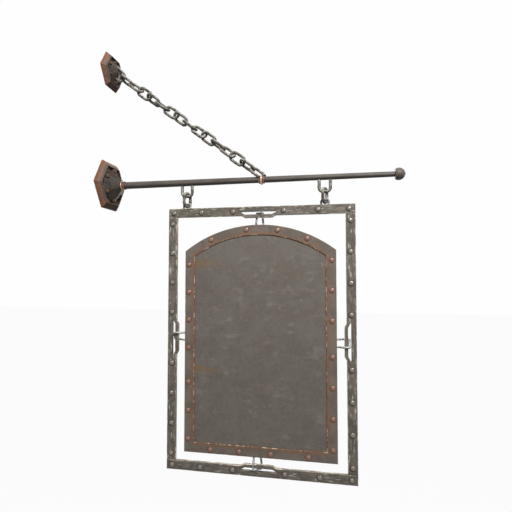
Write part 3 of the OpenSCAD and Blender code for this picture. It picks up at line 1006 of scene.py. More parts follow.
@dataclass(frozen=True)
class FrameSteel(Finish):
    """Weathered flat bar: dull grey-brown, scratched pale along its length, with pale and nicked edges, and
    painted shade round its rivets and its slot.
    """

    # Grime, which also serves as painted shade round the rivets and the slot.
    dirt_and_shade: Rgb = srgb(62, 55, 48)
    dull: Rgb = srgb(88, 82, 75)
    plain: Rgb = srgb(109, 103, 95)
    warm: Rgb = srgb(116, 101, 89)
    pale: Rgb = srgb(148, 140, 127)
    bright: Rgb = srgb(202, 198, 184)
    nick: Rgb = srgb(222, 206, 180)
    head_r: float = 9.5

    def skin(self, paint: Paint) -> Skin:
        """Marks follow the bar's own length, which runs along the grain's first axis.

        Args:
            paint: the bench of the material's tree.

        Returns:
            What goes to the shader.
        """
        grain, edge = paint.note_vector("grain"), paint.note("edge")
        cloud = paint.noise(grain, 38.0, 4.0, 0.6, 0.3, squeeze=(0.6, 1.0, 1.0))
        blotch = paint.noise(grain, 13.0, 4.0, 0.62, 0.5, squeeze=(0.6, 1.0, 1.0))
        line = paint.noise(grain, 5.5, 3.0, 0.55, squeeze=(0.14, 1.0, 1.0))
        speck = paint.noise(grain, 3.0, 2.0)
        patches = paint.noise(grain, 42.0, 3.0, 0.6, shift=(0.7, 0.3, 0.1))
        scuffed = (line * 0.5 + blotch * 0.5).fit(0.5, 0.6) * cloud.fit(0.38, 0.56)
        scratched = line.fit(0.56, 0.62) * patches.fit(0.46, 0.56)
        flecked = speck.fit(0.6, 0.68) * patches.fit(0.55, 0.64)
        ring = paint.rivet_shade(self.head_r + 6.0, self.head_r + 1.5, 0.9, 0.1)
        chipped = paint.noise(grain, 15.0, 3.0, 0.65, squeeze=(0.3, 1.0, 1.0)).fit(0.53, 0.6)
        nicked = edge.fit(2.6, 1.0) * chipped
        colour = paint.coats(
            self.dull,
            ((cloud * 0.55 + blotch * 0.45).fit(0.38, 0.6), self.plain),
            (blotch.fit(0.56, 0.7) * 0.35, self.dirt_and_shade),
            (cloud.fit(0.5, 0.66) * 0.5, self.warm),
            (scuffed * 0.4, self.pale),
            ((scratched * 0.7 + flecked * 0.8).least(1.0) * 0.85, self.bright),
            # Painted shade round each rivet's head, strongest on its lower left side.
            (ring, self.dirt_and_shade),
            (edge.fit(1.8, 0.6) * cloud.fit(0.3, 0.5) * 0.7, self.pale),
            (nicked * 0.85, self.nick),
            # Painted shade: darker close to the slot's edge.
            (paint.note("slot").fit(2.2, 0.8) * 0.85, self.dirt_and_shade),
        )
        rough = 0.6 - scuffed * 0.08 - nicked * 0.15
        height = blotch * 0.3 + line * 0.1 + speck * 0.12 - ring * 0.2 - scratched * 0.1
        return Skin(colour, rough, 0.1, height)


@dataclass(frozen=True)
class PanelSteel(Finish):
    """The blank sheet: dull grey-brown, finely mottled and scratched, with two ochre runs on its left."""

    low: Rgb = srgb(99, 92, 85)
    high: Rgb = srgb(112, 106, 99)
    cool: Rgb = srgb(104, 102, 96)
    warm: Rgb = srgb(140, 108, 84)
    smear: Rgb = srgb(136, 128, 121)
    ochre: Rgb = srgb(128, 98, 62)
    scratch: Rgb = srgb(158, 150, 142)

    def skin(self, paint: Paint) -> Skin:
        """Clouds, fine mottling, smears, scratches and rust flecks, on the place in the part's frame.

        Args:
            paint: the bench of the material's tree.

        Returns:
            What goes to the shader.
        """
        place = paint.place()
        broad = paint.noise(place, 300.0, 3.0, 0.55, 0.3)
        cloud = paint.noise(place, 60.0, 5.0, 0.6, 0.5)
        mottled = paint.noise(place, 13.0, 5.0, 0.68, 0.3)
        brushed = paint.noise(place, 5.0, squeeze=(0.12, 1.0, 1.0))
        combed = paint.noise(place, 4.0, squeeze=(1.0, 1.0, 0.1))
        patch = paint.noise(place, 95.0, 3.0, 0.6, 0.6, shift=(0.4, 0.0, 2.3))
        tone = broad * 0.2 + cloud * 0.3 + mottled * 0.35 + (brushed + combed) * 0.075
        smear = paint.noise(place, 24.0, 5.0, 0.62, squeeze=(0.5, 1.0, 1.0)).fit(0.48, 0.66)
        fleck = paint.noise(place, 11.0, 5.0, 0.75, 0.5, squeeze=(0.7, 1.0, 1.0)).fit(0.56, 0.64)
        rusty = paint.noise(place, 80.0, 3.0, 0.6, shift=(1.9, 0.0, 0.6)).fit(0.46, 0.6)
        upper_run = paint.blotch(place, (375.0, 0.0, -318.0), (110.0, 60.0, 24.0))
        lower_run = paint.blotch(place, (375.0, 0.0, -720.0), (115.0, 60.0, 17.0))
        streaky = (brushed * 0.6 + mottled * 0.4).fit(0.3, 0.62)
        colour = paint.coats(
            self.low,
            (tone.fit(0.38, 0.62), self.high),
            (cloud.fit(0.5, 0.68) * 0.5, self.cool),
            (smear * patch.fit(0.48, 0.62) * 0.5, self.smear),
            (fleck * rusty * 0.5, self.warm),
            (self._scratches(paint, place) * 0.5, self.scratch),
            (((upper_run * 0.8 + lower_run) * streaky).least(0.7), self.ochre),
        )
        rough = 0.6 - smear * 0.05 + fleck * 0.08
        height = broad * 0.5 + cloud * 0.2 + mottled * 0.2 + brushed * 0.05
        return Skin(colour, rough, 0.08, height)

    def _scratches(self, paint: Paint, place: Flow) -> Flow:
        """Thin lines in two slanting directions, broken up by clouds.

        Args:
            paint: the bench of the material's tree.
            place: the place on the piece.

        Returns:
            How strong the scratches are.
        """
        lines = []
        for number, (turn, size) in enumerate(((35.0, 30.0), (-62.0, 40.0))):
            feeds = {"Vector": place, "Angle": math.radians(turn)}
            turned = paint.out("ShaderNodeVectorRotate", {"rotation_type": "Y_AXIS"}, feeds)
            contours = paint.noise(turned, size, 1.0, squeeze=(0.05, 1.0, 1.0))
            line = abs(contours - (0.47 + 0.05 * number)).fit(0.0022, 0.0006)
            lines.append(line * paint.noise(place, 45.0, 2.0, shift=(3.1 * number, 0.0, 1.7)).fit(0.52, 0.6))
        return lines[0].most(lines[1])


@dataclass(frozen=True)
class BorderSteel(Finish):
    """The border strip: grey-brown, with rust along its inner edge, bright flecks on it, rusty rivets and
    painted shade round their heads.
    """

    plain: Rgb = srgb(101, 92, 84)
    light: Rgb = srgb(116, 108, 99)
    rust: Rgb = srgb(134, 96, 73)
    deep_rust: Rgb = srgb(122, 83, 62)
    orange: Rgb = srgb(142, 97, 66)
    fleck: Rgb = srgb(214, 194, 164)
    # Painted shade round the rivets' heads.
    dirt_and_shade: Rgb = srgb(104, 68, 48)
    head_r: float = 9.5

    def skin(self, paint: Paint) -> Skin:
        """Reads the distance from the inner edge and the rivets' stain from the mesh.

        Args:
            paint: the bench of the material's tree.

        Returns:
            What goes to the shader.
        """
        place = paint.place()
        inner, edge, stain = (paint.note(name) for name in ("inner", "edge", "stain"))
        cloud = paint.noise(place, 60.0, 4.0, 0.6, 0.4)
        fine = paint.noise(place, 9.0, 4.0, 0.65)
        speck = paint.noise(place, 3.0, 2.0)
        band_rust = (inner + (fine - 0.5) * 12.0 - (cloud - 0.5) * 40.0).fit(19.0, 0.0)
        bloom = paint.noise(place, 20.0, 4.0, 0.65, 0.5).fit(0.54, 0.68)
        outer = edge.fit(3.2, 0.6) * inner.fit(8.0, 12.0)
        worn = inner.fit(2.6, 1.4) * paint.noise(place, 17.0, 4.0, 0.7).fit(0.5, 0.58)
        colour = paint.coats(
            self.plain,
            (cloud.fit(0.38, 0.62), self.light),
            (band_rust * 0.68, paint.coats(self.deep_rust, (fine.fit(0.35, 0.65), self.rust))),
            (inner.fit(3.4, 1.8) * 0.25, self.deep_rust),
            ((stain * (0.5 + fine)).least(1.0) * 0.65, self.rust),
            (bloom * 0.45 * (inner.fit(40.0, 10.0) + stain).least(1.0), self.orange),
            # Painted shade round each rivet's head, mostly on its lower left side.
            (paint.rivet_shade(self.head_r + 5.5, self.head_r + 0.8, 0.7, 0.15), self.dirt_and_shade),
            (outer * cloud.fit(0.35, 0.55) * 0.6, self.orange),
            (worn * 0.9, self.fleck),
        )
        rough = 0.64 + band_rust * 0.1 - worn * 0.3
        return Skin(colour, rough, 0.05, cloud * 0.3 + fine * 0.15 + speck * 0.08)


@dataclass(frozen=True)
class RivetMetal(Finish):
    """A rivet's head: hammered, with a painted highlight that makes its crown lighter and painted shade that
    makes it darker round its foot.
    """

    # The crown's painted highlight colour and the foot's painted shade colour.
    crown: Rgb = srgb(120, 112, 101)
    foot: Rgb = srgb(70, 62, 54)
    rust: Rgb = srgb(112, 90, 74)
    shine: float = 0.2
    metal: float = 0.2
    sheen: ClassVar[float] = 1.0

    def skin(self, paint: Paint) -> Skin:
        """Reads the height up the head from the mesh, to paint the head darker at its foot and lighter on its
        crown as painted shade and highlight.

        Args:
            paint: the bench of the material's tree.

        Returns:
            What goes to the shader.
        """
        place = paint.place()
        fine = paint.noise(place, 5.0, 3.0, 0.6)
        speck = paint.noise(place, 1.8, 2.0)
        # Painted shade and highlight: dark at the foot, light on the crown.
        colour = paint.coats(
            self.foot, (paint.note("rise").fit(0.15, 0.8), self.crown), (fine.fit(0.5, 0.7) * 0.5, self.rust)
        )
        return Skin(colour, self.shine + fine * 0.2, self.metal, fine * 0.35 + speck * 0.15)


@dataclass(frozen=True)
class CastIron(Finish):
    """A wall plate: rust-orange low on its rim, pinkish above, grey along the crest and the floor, with
    painted shade in its hollows and on the faces that look down.
    """

    orange: Rgb = srgb(136, 87, 60)
    brown: Rgb = srgb(110, 74, 54)
    pink: Rgb = srgb(128, 101, 87)
    grey: Rgb = srgb(94, 84, 75)
    # Dark colour for the painted shade in the hollows.
    floor: Rgb = srgb(62, 53, 46)
    bare: Rgb = srgb(140, 122, 106)
    # Painted shade on the faces that look down.
    under_shade: Rgb = srgb(50, 30, 20)
    rim_rise: float = 23.5

    def skin(self, paint: Paint) -> Skin:
        """Reads the height off the wall from the place, and worn edges from the mesh.

        Args:
            paint: the bench of the material's tree.

        Returns:
            What goes to the shader.
        """
        place, wear = paint.place(), paint.note("wear")
        cloud = paint.noise(place, 38.0, 4.0, 0.6, 0.5)
        fine = paint.noise(place, 9.0, 4.0, 0.65)
        speck = paint.noise(place, 2.6, 3.0)
        rise = paint.parts(place)[0] / (self.rim_rise * MM) + (cloud - 0.5) * 0.55 + (fine - 0.5) * 0.25
        bare = wear.fit(0.02, 0.1) * speck.fit(0.4, 0.6)
        colour = paint.coats(
            self.orange,
            (cloud.fit(0.4, 0.65), self.brown),
            (rise.fit(0.2, 0.55), self.pink),
            (rise.fit(0.58, 0.9), self.grey),
            (fine.fit(0.6, 0.72) * 0.3, self.orange),
            # Painted shade: hollows and corners are darkened.
            (wear.fit(-0.015, -0.09) * 0.7, self.floor),
            # Painted shade: the faces that look down are darkened towards dark brown.
            (paint.note("under").fit(0.2, 0.7) * 0.85, self.under_shade),
            (bare * 0.4, self.bare),
        )
        return Skin(colour, 0.72 - bare * 0.2, 0.05, cloud * 0.4 + fine * 0.35 + speck * 0.2)


@dataclass(frozen=True)
class ForgedIron(Finish):
    """Dark iron: grey-brown, with rust where water stands, paler high edges, and painted shade in its hollows
    and underneath.
    """

    # Its own dark tone, which also serves as painted shade.
    dark: Rgb = srgb(48, 41, 36)
    plain: Rgb = srgb(72, 64, 57)
    rust: Rgb = srgb(116, 82, 52)
    bare: Rgb = srgb(122, 112, 102)
    rusting: float = 0.45

    def skin(self, paint: Paint) -> Skin:
        """Clouds, worn edges, and painted shade in hollows and on faces that look down.

        Args:
            paint: the bench of the material's tree.

        Returns:
            What goes to the shader.
        """
        place, wear = paint.place(), paint.note("wear")
        cloud = paint.noise(place, 30.0, 4.0, 0.6, 0.4)
        fine = paint.noise(place, 7.0, 4.0, 0.65)
        speck = paint.noise(place, 2.2, 2.0)
        rust = paint.noise(place, 24.0, 5.0, 0.68, 0.6).fit(0.54, 0.68)
        bare = wear.fit(0.02, 0.1) * speck.fit(0.35, 0.6)
        colour = paint.coats(
            self.dark,
            (cloud.fit(0.35, 0.62), self.plain),
            (rust * self.rusting, self.rust),
            (bare * 0.5, self.bare),
            # Painted shade: hollows and corners are darkened.
            (wear.fit(-0.015, -0.1) * 0.6, self.dark),
            # Painted shade: faces that look down are darkened.
            (paint.note("under").fit(0.25, 0.9) * 0.5, self.dark),
        )
        rough = 0.6 + rust * 0.12 - bare * 0.2
        return Skin(colour, rough, 0.12, cloud * 0.3 + fine * 0.3 + speck * 0.12)


@dataclass(frozen=True)
class BarIron(Finish):
    """The long bar: drawn iron, grey-brown, with faint marks along its length and painted shade on its
    underside.
    """

    dark: Rgb = srgb(78, 71, 65)
    plain: Rgb = srgb(92, 86, 80)
    rust: Rgb = srgb(98, 83, 72)
    # Painted shade on the underside.
    under_shade: Rgb = srgb(38, 32, 28)
    sheen: ClassVar[float] = 0.3

    def skin(self, paint: Paint) -> Skin:
        """Marks drawn out along X, and painted shade on the faces that look down.

        Args:
            paint: the bench of the material's tree.

        Returns:
            What goes to the shader.
        """
        place = paint.place()
        drawn = paint.noise(place, 7.0, 4.0, 0.6, squeeze=(0.08, 1.0, 1.0))
        cloud = paint.noise(place, 30.0, 4.0, squeeze=(0.3, 1.0, 1.0))
        speck = paint.noise(place, 3.0, 3.0)
        colour = paint.coats(
            self.dark,
            ((drawn * 0.25 + cloud * 0.75).fit(0.34, 0.6), self.plain),
            (cloud.fit(0.56, 0.7) * 0.4, self.rust),
            # Painted shade: the underside is darkened.
            (paint.note("under").fit(0.05, 0.7) * 0.9, self.under_shade),
        )
        return Skin(colour, 0.42 + speck * 0.12, 0.05, drawn * 0.06 + cloud * 0.2 + speck * 0.05)


@dataclass(frozen=True)
class Copper(Finish):
    """Copper-coloured metal: dull brown-pink, rubbed bright on high edges, and near-white where it stands
    proud, which is rubbed metal with a painted highlight.
    """

    dull: Rgb = srgb(88, 58, 44)
    plain: Rgb = srgb(130, 94, 75)
    # Rubbed metal, and the painted highlight on the proud bead.
    bright: Rgb = srgb(228, 214, 200)
    sheen: ClassVar[float] = 0.5

    def skin(self, paint: Paint) -> Skin:
        """Clouds, with bare metal on high edges.

        Args:
            paint: the bench of the material's tree.

        Returns:
            What goes to the shader.
        """
        place = paint.place()
        cloud = paint.noise(place, 16.0, 4.0, 0.6, 0.3)
        fine = paint.noise(place, 4.0, 3.0, 0.6)
        rubbed = paint.note("wear").fit(0.02, 0.1) * fine.fit(0.3, 0.5) * 0.5
        colour = paint.coats(
            # The proud bead is painted near-white: rubbed metal and a painted highlight.
            self.dull, (cloud.fit(0.35, 0.6), self.plain), (rubbed.most(paint.note("proud")), self.bright)
        )
        return Skin(colour, 0.26 + cloud * 0.15, 0.65, fine * 0.25 + cloud * 0.2)


@dataclass(frozen=True)
class WireSteel(Finish):
    """Wire and chain: pitted steel, rubbed pale on its outside, with brown grime in its pits where it can't
    be rubbed, a painted highlight where it faces up and painted shade where it faces down.
    """

    # Brown grime, which also serves as painted shade where the wire faces down.
    dirt_and_shade: Rgb = srgb(62, 54, 46)
    plain: Rgb = srgb(118, 112, 104)
    # Rubbed metal, which also serves as a painted highlight where the wire faces up.
    pale: Rgb = srgb(200, 199, 190)
    rust: Rgb = srgb(104, 88, 74)
    pits: float = 0.7
    bright: float = 0.55
    dirty: float = 0.7
    metal: float = 0.15

    def skin(self, paint: Paint) -> Skin:
        """Pits and rubbed patches from the place, and painted light and shade from which way the surface
        faces; nothing follows the wire.

        Args:
            paint: the bench of the material's tree.

        Returns:
            What goes to the shader.
        """
        place, under = paint.place(), paint.note("under")
        cloud = paint.noise(place, 16.0, 4.0, 0.62, 0.4)
        fine = paint.noise(place, 5.0, 4.0, 0.65)
        pit = paint.cells(paint.moved(place, (0.31, 0.17, 0.05)), 3.4)
        rubbed = (fine * 0.6 + cloud * 0.4).fit(0.46, 0.62)
        hollow = pit.fit(0.28, 0.08) * cloud.fit(0.4, 0.6)
        colour = paint.coats(
            self.dirt_and_shade,
            (cloud.fit(0.34, 0.6), self.plain),
            (fine.fit(0.56, 0.7) * 0.5, self.rust),
            (rubbed * self.bright, self.pale),
            (hollow * self.dirty, self.dirt_and_shade),
            # Painted highlight: paler where the wire faces up.
            (under.fit(-0.2, -0.8) * fine.fit(0.3, 0.5) * 0.8, self.pale),
            # Painted shade: darker where the wire faces down.
            (under.fit(-0.2, 0.6) * 0.65, self.dirt_and_shade),
        )
        rough = 0.56 - rubbed * 0.2 + hollow * 0.2
        height = fine * 0.4 * self.pits + cloud * 0.3 - hollow * 0.5 * self.pits
        return Skin(colour, rough, self.metal, height)


FRAME_STEEL = FrameSteel("frame_flat_bar", Slot.FRAME_STEEL)
PANEL_STEEL = PanelSteel("panel_sheet_steel", Slot.PANEL_STEEL)
BORDER_STEEL = BorderSteel("panel_border_steel", Slot.PANEL_STEEL)
FRAME_RIVET = RivetMetal("frame_rivet_steel", Slot.FRAME_STEEL)
PANEL_RIVET = RivetMetal(
    "panel_rivet_copper", Slot.COPPER,
    crown=srgb(126, 92, 74), foot=srgb(92, 54, 38), rust=srgb(128, 80, 52), shine=0.3, metal=0.1,
)
PLATE_IRON = CastIron("plate_cast_iron", Slot.RUSTY_IRON)
BOSS_IRON = ForgedIron("boss_iron", Slot.DARK_IRON)
HEAD_IRON = ForgedIron(
    "sleeve_nut_iron", Slot.RUSTY_IRON,
    dark=srgb(70, 47, 34), plain=srgb(112, 78, 54), rust=srgb(134, 88, 54), bare=srgb(146, 112, 86),
    rusting=0.6,
)
NUT_IRON = ForgedIron("nut_iron", Slot.DARK_IRON)
# The ball gets a lighter painted shade on its underside than the bar.
BALL_IRON = BarIron(
    "ball_iron", Slot.DARK_IRON,
    dark=srgb(86, 80, 72), plain=srgb(102, 95, 86), rust=srgb(106, 92, 80), under_shade=srgb(60, 54, 48),
)
BAR_IRON = BarIron("bar_iron", Slot.DARK_IRON)
COLLAR_COPPER = Copper("collar_copper", Slot.COPPER)
CHAIN_STEEL = WireSteel("chain_wire", Slot.CHAIN_STEEL)
HOOK_STEEL = WireSteel("hook_wire", Slot.CHAIN_STEEL, plain=srgb(122, 116, 108), bright=0.6)
TIE_STEEL = WireSteel(
    "tie_wire", Slot.TIE_STEEL,
    dirt_and_shade=srgb(92, 90, 84), plain=srgb(142, 145, 138), pale=srgb(214, 220, 214), rust=srgb(116, 110, 98),
    pits=0.35, bright=0.7, dirty=0.3,
)


def settle(made: Mesh, finish: Finish, body: Body, *nodes: str, name: str = "") -> None:
    """Puts a finished piece on its body, in place of the CAD nodes that it stands for.

    Its mesh gets the note "under", from 1 where it faces down to -1 where it faces up, which the finishes
    read for painted shade where a piece faces down and, on wire, a painted highlight where it faces up.

    Args:
        made: the piece's mesh.
        finish: its finish, whose material the mesh gets where it has none yet.
        body: the body that it rides on.
        nodes: the CAD nodes that it stands for.
        name: the piece's name before its ending, where that isn't its node's.
    """
    piece = add_object((name or nodes[0]) + "_worn", made)
    made.name = piece.name
    write_note(made, "under", -normals_of(made)[:, 2])
    if not made.materials:
        made.materials.append(finish.material())
    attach(piece, body.value)
    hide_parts(*nodes)
    LOG.info("%s: %d faces on %s, for %s", piece.name, len(made.polygons), body.value, ", ".join(nodes))


# Tools that grow pieces


class Grower(Bench):
    """A Geometry Nodes tree with named inputs, that grows a piece from a base mesh."""

    sockets: ClassVar[dict[type, str]] = {
        float: "NodeSocketFloat",
        int: "NodeSocketInt",
        Vector: "NodeSocketVector",
        bpy.types.Object: "NodeSocketObject",
        bpy.types.Material: "NodeSocketMaterial",
    }

    def __init__(self, name: str, inputs: Mapping[str, Any]) -> None:
        """Starts the tree, whose last input is its material.

        Args:
            name: the tree's name.
            inputs: for each input its name, with its value or the type of what every piece sets.
        """
        tree = bpy.data.node_groups.new(name, "GeometryNodeTree")
        super().__init__(tree)
        for way in ("OUTPUT", "INPUT"):
            tree.interface.new_socket(name="Geometry", in_out=way, socket_type="NodeSocketGeometry")
        self.identifiers: dict[str, str] = {}
        for title, value in {**inputs, "Material": bpy.types.Material}.items():
            kind = value if isinstance(value, type) else type(value)
            socket = tree.interface.new_socket(name=title, in_out="INPUT", socket_type=self.sockets[kind])
            if kind is not value:
                socket.default_value = value
            self.identifiers[title] = socket.identifier
        self.source = tree.nodes.new("NodeGroupInput")
        self.sink = tree.nodes.new("NodeGroupOutput")

    def given(self, title: str) -> Flow:
        """One of the tree's inputs."""
        return Flow(self, self.source.outputs[title])

    def swept(self, path: Flow) -> Flow:
        """Round wire of the input Wire diameter along a path, whose radius scales it."""
        feeds = {"Resolution": 16, "Radius": self.given("Wire diameter") * 0.5}
        profile = self.out("GeometryNodeCurvePrimitiveCircle", feeds=feeds)
        feeds = {"Curve": path, "Profile Curve": profile, "Fill Caps": True}
        feeds["Scale"] = self.out("GeometryNodeInputRadius")
        return self.out("GeometryNodeCurveToMesh", feeds=feeds)

    def roughened(self, geometry: Flow) -> Flow:
        """Beats the surface uneven, as deep as the inputs Dent and Dent size say.

        Args:
            geometry: the surface.

        Returns:
            The beaten surface.
        """
        place, scale = self.out("GeometryNodeInputPosition"), 1.0 / self.given("Dent size")
        feeds = {"Vector": place, "W": self.given("Seed"), "Scale": scale, "Detail": 2.0}
        noise = self.out("ShaderNodeTexNoise", {"noise_dimensions": "4D"}, feeds)
        depth = (noise - 0.5) * 2.0 * self.given("Dent")
        offset = self.scaled(self.out("GeometryNodeInputNormal"), depth)
        return self.out("GeometryNodeSetPosition", feeds={"Geometry": geometry, "Offset": offset})

    def close(self, geometry: Flow) -> None:
        """Ends the tree: real geometry, shaded smooth, with its material.

        Args:
            geometry: what the tree has grown.
        """
        real = self.out("GeometryNodeRealizeInstances", feeds={"Geometry": geometry})
        smooth = self.out("GeometryNodeSetShadeSmooth", feeds={"Geometry": real})
        feeds = {"Geometry": smooth, "Material": self.given("Material")}
        self.feed(self.sink.inputs[0], self.out("GeometryNodeSetMaterial", feeds=feeds))

    def grow(self, base: Mesh, values: Mapping[str, Any]) -> Mesh:
        """Runs the tree on a base mesh.

        Args:
            base: the mesh to grow from, which is used up.
            values: values for the tree's inputs, by name.

        Returns:
            A plain mesh.
        """
        holder = add_object("base", base)
        modifier = holder.modifiers.new("grow", "NODES")
        modifier.node_group = self.tree
        for title, value in values.items():
            modifier[self.identifiers[title]] = value
        return finished(holder)


class WireGrower(Grower):
    """Sweeps round wire along the edges of a base mesh, with rounded bends and a beaten surface."""

    def __init__(self) -> None:
        """Builds the tree."""
        inputs = {
            "Wire diameter": float,
            "Bend radius": float,
            "Ring spacing": 1.6 * MM,
            "Swell": 0.06,
            "Dent": float,
            "Dent size": 7 * MM,
            "Seed": float,
        }
        super().__init__("bent wire", inputs)
        path = self.out("GeometryNodeMeshToCurve", feeds={"Mesh": self.given("Geometry")})
        feeds = {"Curve": path, "Count": 7, "Radius": self.given("Bend radius"), "Limit Radius": True}
        bent = self.out("GeometryNodeFilletCurve", {"mode": "POLY"}, feeds)
        feeds = {"Curve": bent, "Length": self.given("Ring spacing")}
        even = self.out("GeometryNodeResampleCurve", {"mode": "LENGTH"}, feeds)
        place = self.out("GeometryNodeInputPosition")
        feeds = {"Vector": place, "W": self.given("Seed"), "Scale": 45.0, "Detail": 1.0}
        wave = self.out("ShaderNodeTexNoise", {"noise_dimensions": "4D"}, feeds)
        radius = 1.0 + (wave - 0.5) * 2.0 * self.given("Swell")
        swollen = self.out("GeometryNodeSetCurveRadius", feeds={"Curve": even, "Radius": radius})
        self.close(self.roughened(self.swept(swollen)))


class ChainGrower(Grower):
    """Lays oval links along a line, each turned from the one before, and sweeps wire round them."""

    def __init__(self) -> None:
        """Builds the tree."""
        inputs = {
            "Link length": float,
            "Link spread": float,
            "Wire diameter": float,
            "Links": int,
            "Pitch": float,
            "First place": float,
            "First roll": float,
            "Twist": float,
            "Slope": float,
            "Start": Vector,
            "Dent": 0.35 * MM,
            "Dent size": 7 * MM,
            "Seed": 3.0,
        }
        super().__init__("chain", inputs)
        feeds = {
            "Count": self.given("Links"),
            "Start Location": self.vector(self.given("First place"), 0.0, 0.0),
            "Offset": self.vector(self.given("Pitch"), 0.0, 0.0),
        }
        line = self.out("GeometryNodeMeshLine", {"mode": "OFFSET", "count_mode": "TOTAL"}, feeds)
        roll = self.given("First roll") + self.out("GeometryNodeInputIndex") * self.given("Twist")
        turn = self.out("FunctionNodeEulerToRotation", feeds={0: self.vector(roll, 0.0, 0.0)})
        feeds = {"Points": line, "Instance": self._link(), "Rotation": turn}
        laid = self.out("GeometryNodeInstanceOnPoints", feeds=feeds)
        real = self.out("GeometryNodeRealizeInstances", feeds={"Geometry": laid})
        slope = self.out("FunctionNodeEulerToRotation", feeds={0: self.vector(0.0, self.given("Slope"), 0.0)})
        feeds = {"Geometry": real, "Translation": self.given("Start"), "Rotation": slope}
        self.close(self.roughened(self.out("GeometryNodeTransform", feeds=feeds)))

    def _link(self) -> Flow:
        """Makes one oval link round the origin, its long axis along X, with the lump of its weld.

        Returns:
            The link.
        """
        feeds = {"Resolution": 48, "Radius": self.given("Link spread") * 0.5}
        ring = self.out("GeometryNodeCurvePrimitiveCircle", feeds=feeds)
        across, up, _ = self.parts(self.out("GeometryNodeInputPosition"))
        stretch = across.sign() * (self.given("Link length") - self.given("Link spread")) * 0.5
        feeds = {"Geometry": ring, "Offset": self.vector(stretch, 0.0, 0.0)}
        oval = self.out("GeometryNodeSetPosition", feeds=feeds)
        even = self.out("GeometryNodeResampleCurve", {"mode": "COUNT"}, {"Curve": oval, "Count": 76})
        weld = abs(across).fit(6 * MM, 2 * MM) * up.sign().most(0.0)
        feeds = {"Curve": even, "Radius": 1.0 + weld * 0.08}
        return self.swept(self.out("GeometryNodeSetCurveRadius", feeds=feeds))


class FastenerGrower(Grower):
    """Sets a pattern, such as a rivet's head, on every point of a base mesh, facing as the point says."""

    def __init__(self) -> None:
        """Builds the tree."""
        super().__init__("fasteners", {"Pattern": bpy.types.Object, "Size change": 0.03, "Seed": int})
        feeds = {"Object": self.given("Pattern")}
        pattern = self.out("GeometryNodeObjectInfo", feeds=feeds, output="Geometry")
        settings = {"data_type": "FLOAT_VECTOR"}
        facing = self.out("GeometryNodeInputNamedAttribute", settings, {"Name": "facing"})
        aimed = self.out("FunctionNodeAlignRotationToVector", {"axis": "X"}, {"Vector": facing})
        spin = self.vector(self._random(1) * math.pi, 0.0, 0.0)
        turn = {0: aimed, 1: self.out("FunctionNodeEulerToRotation", feeds={0: spin})}
        spun = self.out("FunctionNodeRotateRotation", {"rotation_space": "LOCAL"}, turn)
        size = 1.0 + self._random(2) * self.given("Size change")
        feeds = {
            "Points": self.given("Geometry"),
            "Instance": pattern,
            "Rotation": spun,
            "Scale": self.vector(1.0, size, size),
        }
        self.close(self.out("GeometryNodeInstanceOnPoints", feeds=feeds))

    def _random(self, draw: int) -> Flow:
        """A random number from -1 to 1 for each point, from the tree's seed."""
        feeds = {2: -1.0, 3: 1.0, "Seed": self.given("Seed") + float(draw)}
        return self.out("FunctionNodeRandomValue", {"data_type": "FLOAT"}, feeds, 1)


@dataclass(frozen=True)
class Workshop:
    """The tools that several sub-assemblies share."""

    wires: WireGrower
    fasteners: FastenerGrower

    def wire(
        self,
        path: Sequence[Sequence[float]],
        diameter: float,
        finish: Finish,
        dent: float,
        seed: float,
        closed: bool = False,
        bend: float = 0.0,
    ) -> Mesh:
        """Bends a piece of wire.

        Args:
            path: the points of its middle line, in millimetres.
            diameter: its diameter in millimetres.
            finish: its finish.
            dent: how uneven its surface is, in millimetres.
            seed: a number for the unevenness.
            closed: whether the wire is a closed loop.
            bend: the radius that its corners are rounded to.

        Returns:
            A closed mesh.
        """
        edges = [(i, i + 1) for i in range(len(path) - 1)]
        if closed:
            edges.append((len(path) - 1, 0))
        base = bpy.data.meshes.new("path")
        base.from_pydata((np.array(path) * MM).tolist(), edges, [])
        values = {
            "Wire diameter": diameter * MM,
            "Bend radius": bend * MM,
            "Dent": dent * MM,
            "Seed": seed,
            "Material": finish.material(),
        }
        return self.wires.grow(base, values)

    def fasten(
        self, pattern: Shape, places: Sequence[Spot], facings: Sequence[Spot], finish: Finish, seed: int
    ) -> Mesh:
        """Sets one pattern in many places.

        Args:
            pattern: the fastener, along X, in metres.
            places: where each one sits, in millimetres.
            facings: which way each one's X axis points.
            finish: their finish.
            seed: a number for their turns and sizes.

        Returns:
            One mesh that holds them all.
        """
        template = add_object("pattern", pattern.mesh())
        base = bpy.data.meshes.new("places")
        base.from_pydata((np.array(places) * MM).tolist(), [], [])
        write_note(base, "facing", np.array(facings, float))
        made = self.fasteners.grow(base, {"Pattern": template, "Seed": seed, "Material": finish.material()})
        bpy.data.objects.remove(template)
        return made


